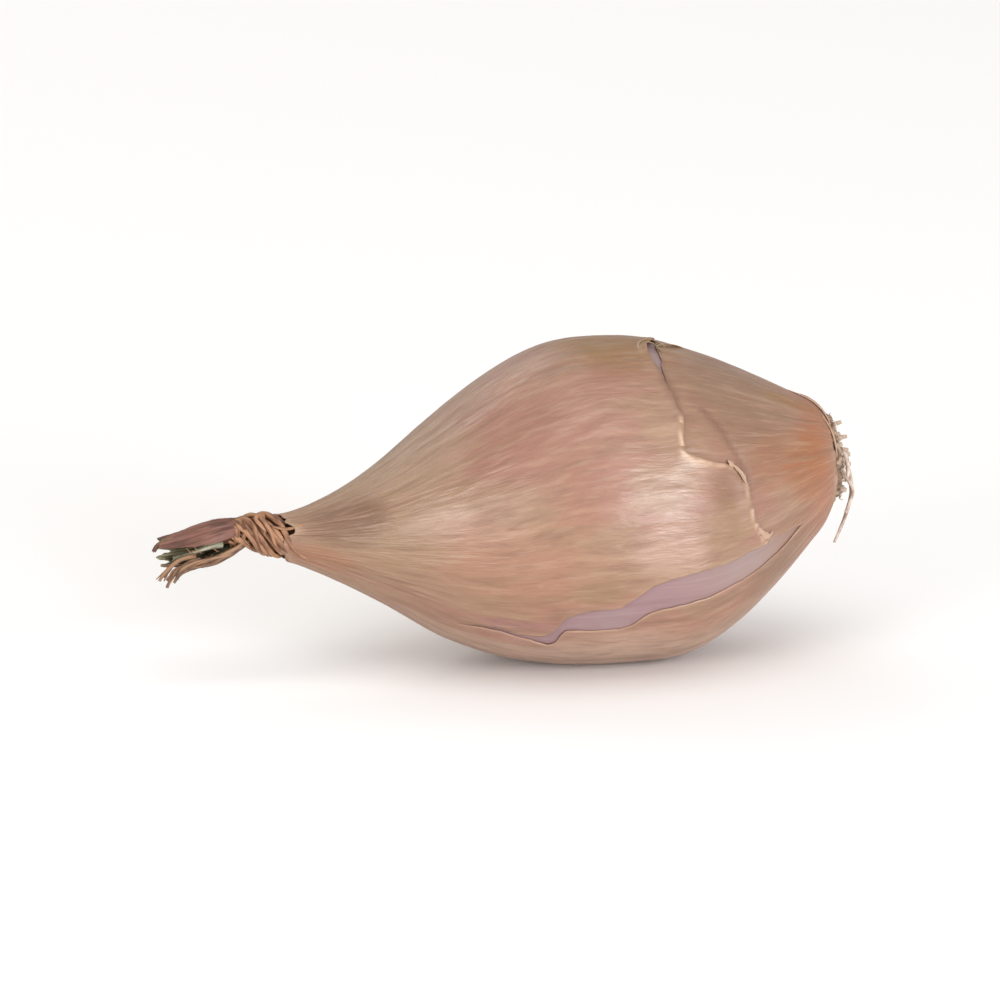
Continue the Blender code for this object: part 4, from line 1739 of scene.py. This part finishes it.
    def _sheath(self) -> bpy.types.Object:
        """Makes the curled leaf, open towards the split side, ridged along its length.

        Returns:
            The piece.
        """
        rows, columns = 64, 84
        along = np.linspace(self.sheath_start, self.sheath_end, rows)[:, None]
        share = np.linspace(0.0, 1.0, columns)[None, :]
        low, high = self.lower_lip.at(along), self.upper_lip.at(along) + 360.0
        turn = low + (high - low) * share + Ragged(60, 1.2, 5.0).at(along) * (share > 0.5)
        ragged_end = Ragged(61, 21.0, 1.1).at(turn) * np.clip((along - 73.0) / 3.0, 0.0, 1.0)
        ridges = 0.10 * np.cos(np.radians(13.0 * turn + 14.0 * np.sin(along)))
        ridges = ridges + 0.06 * np.cos(np.radians(31.0 * turn))
        lip_curl = -0.25 * bell(1.0 - share, 0.06) + 0.12 * bell(share, 0.05)
        radius = self.sheath_radius.at(along) + ridges + lip_curl + Ragged(62, 1.9, 0.10).at(along)
        a = np.broadcast_to(along, turn.shape) + ragged_end
        points, grain = self._at(a, turn, radius), (turn * 2.2 / DEGREES, 0.0, a)
        return self._leaf("neck_sheath", points, grain, self.sheath_thickness, self.blade, self.lining)

    def _inner_curl(self) -> bpy.types.Object:
        """Makes the small pale leaf curled up inside the sheath.

        Returns:
            The piece.
        """
        rows, columns = 36, 20
        s = np.linspace(0.0, 1.0, rows)[:, None]
        w = np.linspace(-1.0, 1.0, columns)[None, :]
        along = 69.6 + 5.6 * s + 0.0 * w
        rise = self.rise.at(along) - 0.9 + 0.55 * np.sin(3.2 * s + 0.4) + 0.42 * w * np.cos(2.6 * s)
        side = 0.7 + 0.45 * np.sin(4.2 * s) - 0.5 * w**2 + 0.25 * w * np.sin(5.0 * s)
        points, grain = self.bulb.place(along, rise, side), (0.8 * w, 0.0, along)
        return self._leaf("neck_inner_curl", points, grain, self.curl_thickness, self.pale_leaf)

    def _tail(self, material: bpy.types.Material) -> bpy.types.Object:
        """Pale strands under the sheath and the frayed tip, each with a thinner one beside it.

        Args:
            material: of the strands.

        Returns:
            The piece.
        """
        # (along, rise, side) stations of each
        paths = (
            ((66.6, 0.5, 1.1), (68.4, -0.3, 1.5), (70.2, -1.2, 1.7), (72.4, -1.6, 1.5), (74.2, -1.8, 1.1),
             (75.6, -2.7, 0.9)),
            ((66.8, 0.2, 0.8), (68.6, -0.7, 1.1), (70.6, -1.6, 1.2), (72.8, -1.9, 1.0), (74.6, -2.4, 1.2),
             (75.5, -3.3, 1.4)),
            ((67.0, 0.0, 0.2), (69.0, -1.0, 0.3), (71.0, -1.8, 0.4), (73.2, -2.0, 0.4), (75.0, -2.4, 0.3),
             (76.1, -3.2, 0.4)),
            ((67.4, 0.2, 1.3), (69.4, -0.5, 1.8), (71.4, -1.0, 1.9), (73.4, -1.3, 1.6), (74.8, -2.0, 1.5),
             (75.2, -2.9, 1.7)),
            ((72.4, -1.0, 1.3), (74.0, -1.4, 1.3), (75.3, -2.4, 1.1), (76.2, -3.9, 0.9)),
            ((72.8, -0.6, 1.2), (74.6, -0.9, 1.0), (76.0, -2.0, 0.6), (76.9, -3.2, 0.3)),
            ((73.2, -1.3, -0.2), (74.8, -1.7, -0.8), (75.6, -2.8, -1.2), (75.9, -3.4, -1.4)),
            ((73.4, 0.9, 0.2), (75.2, 1.4, 0.5), (76.6, 1.2, 0.8), (77.4, 0.4, 0.9)),
            ((73.6, 0.8, -0.6), (75.4, 0.9, -1.2), (76.6, 0.3, -1.5), (77.0, -0.3, -1.6)),
            ((66.8, 1.3, -1.4), (70.0, 1.2, -1.7), (73.0, 0.9, -1.6), (74.8, 0.6, -1.3)),
        )
        lines = []
        for k, stations in enumerate(paths):
            points = np.array([self.bulb.place(*s) for s in stations])
            nudge = np.random.default_rng(70 + k).uniform(-0.35, 0.35, points.shape)
            nudge = nudge * np.linspace(0.4, 1.0, len(points))[:, None]
            lines += [Line.through(points, 0.29, 0.6, 28), Line.through(points + nudge, 0.14, 0.5, 28)]
        piece = Threads(material, 0.55, 8, 0.3, 9).make("neck_tail", lines)
        return finished(piece, Slot.DRY_NECK, ())

    def _loose_fibres(self, material: bpy.types.Material) -> bpy.types.Object:
        """Hair-thin fibres that stand off the collar and the tail.

        Args:
            material: of the fibres.

        Returns:
            The piece.
        """
        random, lines, steps = np.random.default_rng(5), [], np.linspace(0.0, 1.0, 5)
        for _ in range(self.loose_fibres):
            along, turn = random.uniform(62.5, 74.5), random.uniform(0.0, 360.0)
            length = random.uniform(1.2, 3.0)
            a = along + length * steps * random.uniform(0.2, 0.8)
            t = turn - steps * random.uniform(10.0, 70.0)
            reach = np.minimum(self.winding.at(np.minimum(a, 68.0)) + 0.25, 2.6)
            r = reach + 0.35 * np.sin(np.pi * steps) * random.uniform(0.1, 0.8) - 0.1
            lines.append(Line.through(self._at(a, t, r), 0.06, 0.5, 14))
        piece = Threads(material, 1.0, 5, 0.1, 2).make("neck_fibres", lines)
        return finished(piece, Slot.DRY_NECK, ())


# Root end


@dataclass
class RootEnd:
    """Basal plate with worn root stubs, a few long dry roots and a torn strip of skin round it."""

    bulb: Bulb
    plate_radius: float = 4.7
    plate_depth: float = 1.6
    dome: float = 1.0
    front: float = 0.15
    stubs: int = 26
    stub_reach: float = 4.0
    stub_radius: float = 0.34
    stub_tip: float = 0.24
    stub_length: float = 1.0
    stub_lean: float = 0.5
    stub_seed: int = 12
    golden_angle: float = 137.508
    rootlets: int = 46
    cork: Finish = field(default_factory=CorkFinish)
    root: Finish = FibreFinish("root_finish", (206, 188, 174), (148, 122, 104), 1.2, 0.2, 0.6)
    stub: Finish = FibreFinish("stub_finish", (212, 194, 174), (138, 110, 88), 1.0, 0.3, 0.75)

    def build(self) -> list[bpy.types.Object]:
        """The root end's pieces."""
        root = self.root.material()
        return [self._plate(), self._stubs(), self._long_roots(root), self._fringe(root), self._strip()]

    def _out(self, out: Any, up: Any, side: Any) -> np.ndarray:
        """Points this far out from the root end, up from the bulb's axis and to the side."""
        return self.bulb.place(-np.asarray(out, float), np.asarray(up, float), np.asarray(side, float))

    def _plate(self) -> bpy.types.Object:
        """Makes the domed, pitted plate, closed at its back.

        Returns:
            The piece.
        """
        rings, columns, rise = 16, 56, self.bulb.root_rise
        share = np.linspace(0.0, 1.0, rings)[1:, None]
        turn = np.radians(np.arange(columns) * 360.0 / columns)[None, :]
        bumps = 0.10 * np.cos(5.0 * turn + 6.0 * share) * np.sin(7.0 * share)
        bumps = bumps + 0.08 * np.cos(11.0 * turn - 9.0 * share)
        tip, back = self.front + self.dome, -self.plate_depth
        domed = self.front + self.dome * (1.0 - share**2) + bumps * share
        points = [
            self._out(out, rise + r * np.cos(turn), r * np.sin(turn)).reshape(-1, 3)
            for out, r in ((domed, self.plate_radius * share), (back, self.plate_radius * 1.02))
        ]
        points.append(self._out([tip, back], [rise, rise], [0.0, 0.0]))
        number = np.arange(rings * columns).reshape(rings, columns)
        faces = sheet_faces(number, wrap=True) + pole_faces(number, number.size)
        piece = mesh_object("root_plate_face", np.concatenate(points), faces)
        return finished(piece, Slot.ROOT_PLATE, [self.cork.material()], "root_plate")

    def _stubs(self) -> bpy.types.Object:
        """Worn-off roots spread over the plate in a spiral, leaning outwards.

        Returns:
            The piece.
        """
        tool = NodeTool("root_stubs", {
            "Count": ("NodeSocketInt", self.stubs),
            "Reach": ("NodeSocketFloat", self.stub_reach * MM),
            "Radius": ("NodeSocketFloat", self.stub_radius * MM),
            "Seed": ("NodeSocketInt", self.stub_seed),
            "Material": ("NodeSocketMaterial", self.stub.material()),
        })
        g = tool.graph
        index, reach = g.node("GeometryNodeInputIndex"), tool.named("Reach")
        angle = index * math.radians(self.golden_angle)
        share = g.sum("SQRT", (index + 0.6) / tool.named("Count"))
        across, upwards = g.sum("SINE", angle) * share, g.sum("COSINE", angle) * share
        out, up = tuple(-self.bulb.neckwards), tuple(self.bulb.upwards)
        place: Value = tuple(self._out(self.front - 0.35, self.bulb.root_rise, 0.0) * MM)
        aim: Value = out
        for way, size in ((up, upwards), (SPLIT_SIDE, across)):
            place = g.vector("ADD", place, g.scaled(way, size * reach))
            aim = g.vector("ADD", aim, g.scaled(way, size * self.stub_lean))
        place = g.vector("ADD", place, g.scaled(out, (1.0 - share * share) * self.dome * MM))
        aim = g.vector("ADD", aim, tool.random((-0.25,) * 3, (0.25,) * 3, tool.named("Seed")))
        points = g.node("GeometryNodePoints", {}, {"Count": tool.named("Count"), "Position": place})
        turned = g.node("FunctionNodeAlignRotationToVector", {"axis": "Z"}, {"Vector": aim})
        stub = g.node("GeometryNodeMeshCone", {"fill_type": "NGON"}, {
            "Vertices": 9, "Side Segments": 3, "Radius Top": self.stub_tip * MM,
            "Radius Bottom": tool.named("Radius"), "Depth": self.stub_length * MM,
        })
        size = tool.random((0.7, 0.7, 0.6), (1.15, 1.15, 1.5), tool.named("Seed") + 5.0)
        sockets = {0: points, "Instance": stub, "Rotation": turned, "Scale": size}
        tool.close(g.node("GeometryNodeInstanceOnPoints", {}, sockets))
        piece = tool.run(mesh_object("root_stubs", np.zeros((1, 3)), ()))
        return finished(piece, Slot.ROOT_PLATE, ())

    def _long_roots(self, material: bpy.types.Material) -> bpy.types.Object:
        """Long dry roots.

        Args:
            material: of the roots.

        Returns:
            The piece.
        """
        # (out, side, up) stations of each
        paths = (
            ((0.2, 1.0, 2.8), (1.2, 1.0, 2.0), (1.7, 1.0, 0.9), (2.0, 1.1, -0.6), (2.0, 1.1, -2.2),
             (1.4, 1.1, -4.2), (0.7, 1.1, -5.8), (-0.2, 1.1, -7.6)),
            ((0.2, 0.4, 1.6), (1.4, 1.2, 0.0), (2.0, 1.8, -1.6), (1.5, 2.2, -2.9), (0.9, 2.4, -3.9)),
            ((0.2, -2.4, 1.0), (1.5, -3.0, -0.2), (1.8, -3.8, -2.2), (1.3, -4.2, -4.4)),
            ((0.2, -0.8, 4.2), (1.0, -1.6, 4.6), (1.4, -2.8, 4.2), (1.3, -4.0, 3.2)),
            ((0.2, 2.6, 3.4), (0.9, 3.5, 3.0), (1.0, 4.2, 2.0), (0.8, 4.6, 0.8)),
        )
        lines = []
        for stations in paths:
            out, side, up = np.array(stations).T
            lines.append(Line.through(self._out(out, up, side), 0.27, 0.6, 40))
        piece = Threads(material, 0.8, 8, 0.25, 6).make("long_roots", lines)
        return finished(piece, Slot.ROOT_PLATE, ())

    def _fringe(self, material: bpy.types.Material) -> bpy.types.Object:
        """Short thin rootlets round the plate's rim, shorter at its top.

        Args:
            material: of the rootlets.

        Returns:
            The piece.
        """
        random, rise, lines = np.random.default_rng(17), self.bulb.root_rise, []
        for k in range(self.rootlets):
            turn = math.radians(360.0 * (k + random.uniform(-0.4, 0.4)) / self.rootlets)
            r = self.plate_radius * random.uniform(0.80, 1.0)
            curl = random.uniform(-0.5, 0.5)
            length = random.uniform(0.5, 1.7) * (0.45 if math.cos(turn) > 0.25 else 1.0)
            stations = []
            for s in np.linspace(0.0, 1.0, 5):
                angle = turn + curl * s * 0.5
                reach = r + length * 0.55 * s
                out = self.front + 0.15 + length * 0.5 * s - 0.9 * s**2 * random.uniform(0.2, 0.9)
                stations.append(self._out(out, rise + reach * math.cos(angle), reach * math.sin(angle)))
            lines.append(Line.through(np.array(stations), random.uniform(0.08, 0.16), 0.4, 14))
        piece = Threads(material, 0.9, 6, 0.25, 3).make("rootlets", lines)
        return finished(piece, Slot.ROOT_PLATE, ())

    def _strip(self) -> bpy.types.Object:
        """Thin torn edges of skin that stand up round the shoulder.

        Returns:
            The piece.
        """
        # (along, turn, height, half width) down the middle of each
        ribbons = (
            ((4.2, -3.0, -0.06, 0.06), (3.5, 0.0, 0.03, 0.12), (2.6, 4.0, 0.08, 0.20), (1.6, 9.0, 0.11, 0.18),
             (0.8, 16.0, 0.10, 0.16), (0.4, 30.0, -0.04, 0.06)),
            ((2.9, -7.0, -0.06, 0.05), (2.4, -4.0, 0.02, 0.10), (1.8, 0.0, 0.06, 0.14),
             (1.1, 6.0, 0.10, 0.14), (0.5, 16.0, -0.04, 0.06)),
            ((1.4, 26.0, -0.04, 0.06), (0.8, 38.0, 0.06, 0.14), (0.5, 52.0, 0.08, 0.14),
             (0.4, 76.0, -0.04, 0.05)),
        )
        finish = PaperyFinish(name="shoulder_strip_finish", relief=0.05, roughness=0.45)
        return Ribbons(self.bulb, 0.10, 0.6, finish).make("shoulder_strip", ribbons)


# Studio


@dataclass(frozen=True)
class SoftBox:
    """A rectangular lamp that faces the object; distances and sizes in metres, power in watts."""

    name: str
    azimuth: float
    elevation: float
    distance: float
    size: tuple[float, float]
    power: float
    tint: tuple[float, float, float] = (1.0, 0.98, 0.95)


@dataclass
class Studio:
    """Pale floor, soft lights and the camera."""

    bulb: Bulb
    azimuth: float = -14.0
    elevation: float = 15.0
    distance: float = 2.2
    frame_width: float = 111.1
    sensor: float = 36.0
    aim_right: float = -36.7
    aim_up: float = -2.9
    floor_reach: float = 3000.0
    room_light: float = 0.58
    lit: tuple[float, float, float] = (-0.008, 0.0, 0.017)
    lamps: tuple[SoftBox, ...] = (
        SoftBox("soft_box_right", 26.0, 13.0, 0.9, (0.36, 0.60), 4.85, (0.96, 1.0, 1.08)),
        SoftBox("soft_box_left", -52.5, 14.0, 0.9, (0.34, 0.34), 2.65),
        SoftBox("overhead", -10.0, 72.0, 1.2, (1.0, 1.0), 4.6),
        SoftBox("fill_behind", 200.0, 38.0, 1.0, (0.7, 0.5), 1.7),
        SoftBox("low_card", 26.0, 1.5, 0.9, (0.36, 0.10), 2.1),
    )

    @staticmethod
    def direction(azimuth: float, elevation: float) -> Vector:
        """Direction from the object to a viewer or lamp there."""
        a, e = math.radians(azimuth), math.radians(elevation)
        return Vector((math.sin(a) * math.cos(e), -math.cos(a) * math.cos(e), math.sin(e)))

    def build(self) -> None:
        """Makes the floor, surroundings, lamps and camera."""
        self._floor()
        self._world()
        for lamp in self.lamps:
            self._lamp(lamp)
        self._camera()

    def _floor(self) -> None:
        """Plain pale floor."""
        corners = np.array([[-1, -1, 0], [1, -1, 0], [1, 1, 0], [-1, 1, 0]], float) * self.floor_reach
        floor = mesh_object("floor", corners, [(0, 1, 2, 3)])
        g = Surface("floor_finish")
        finish = g.plug(Base_Color=seen((250, 249, 248)), Roughness=0.9, Specular_IOR_Level=0.2)
        floor.data.materials.append(finish)

    def _world(self) -> None:
        """Even pale surroundings."""
        world = bpy.data.worlds.new("pale_room")
        world.use_nodes = True
        sky = world.node_tree.nodes["Background"]
        sky.inputs["Color"].default_value = (1.0, 0.99, 0.98, 1.0)
        sky.inputs["Strength"].default_value = self.room_light
        bpy.context.scene.world = world

    def _lamp(self, box: SoftBox) -> None:
        """Adds one soft box.

        Args:
            box: its size, place and light.
        """
        light = bpy.data.lights.new(box.name, "AREA")
        light.shape = "RECTANGLE"
        light.size, light.size_y = box.size
        light.energy = box.power
        light.color = box.tint
        lamp = bpy.data.objects.new(box.name, light)
        bpy.context.scene.collection.objects.link(lamp)
        way = self.direction(box.azimuth, box.elevation)
        lamp.location = Vector(self.lit) + way * box.distance
        lamp.rotation_euler = (-way).to_track_quat("-Z", "Y").to_euler()

    def _camera(self) -> None:
        """Camera at the photograph's angle, closer in."""
        camera = bpy.data.cameras.new("camera")
        camera.sensor_width = self.sensor
        camera.lens = self.distance * 1000.0 * self.sensor / self.frame_width
        camera.clip_start, camera.clip_end = 0.1, 20.0
        camera.dof.use_dof = False
        view = bpy.data.objects.new("camera", camera)
        bpy.context.scene.collection.objects.link(view)
        back = self.direction(self.azimuth, self.elevation)
        right = Vector((math.cos(math.radians(self.azimuth)), math.sin(math.radians(self.azimuth)), 0.0))
        up = back.cross(right)
        aim = Vector(self.bulb.place(0.0) * MM) + (right * self.aim_right + up * self.aim_up) * MM
        turned = Matrix((right, up, back)).transposed().to_4x4()
        view.matrix_world = Matrix.Translation(aim + back * self.distance) @ turned
        bpy.context.scene.camera = view
        bpy.context.scene.view_settings.view_transform = "Standard"


def main() -> None:
    """Builds every piece in order, then the studio."""
    logging.basicConfig(level=logging.INFO, format="%(name)s: %(message)s")
    bulb = Bulb()
    for part in (PaperySkin(bulb), InnerSkin(bulb), DryNeck(bulb), RootEnd(bulb)):
        for piece in part.build():
            log.info("%s: %s, %d faces", type(part).__name__, piece.name, len(piece.data.polygons))
    Studio(bulb).build()


if __name__ == "__main__":
    main()
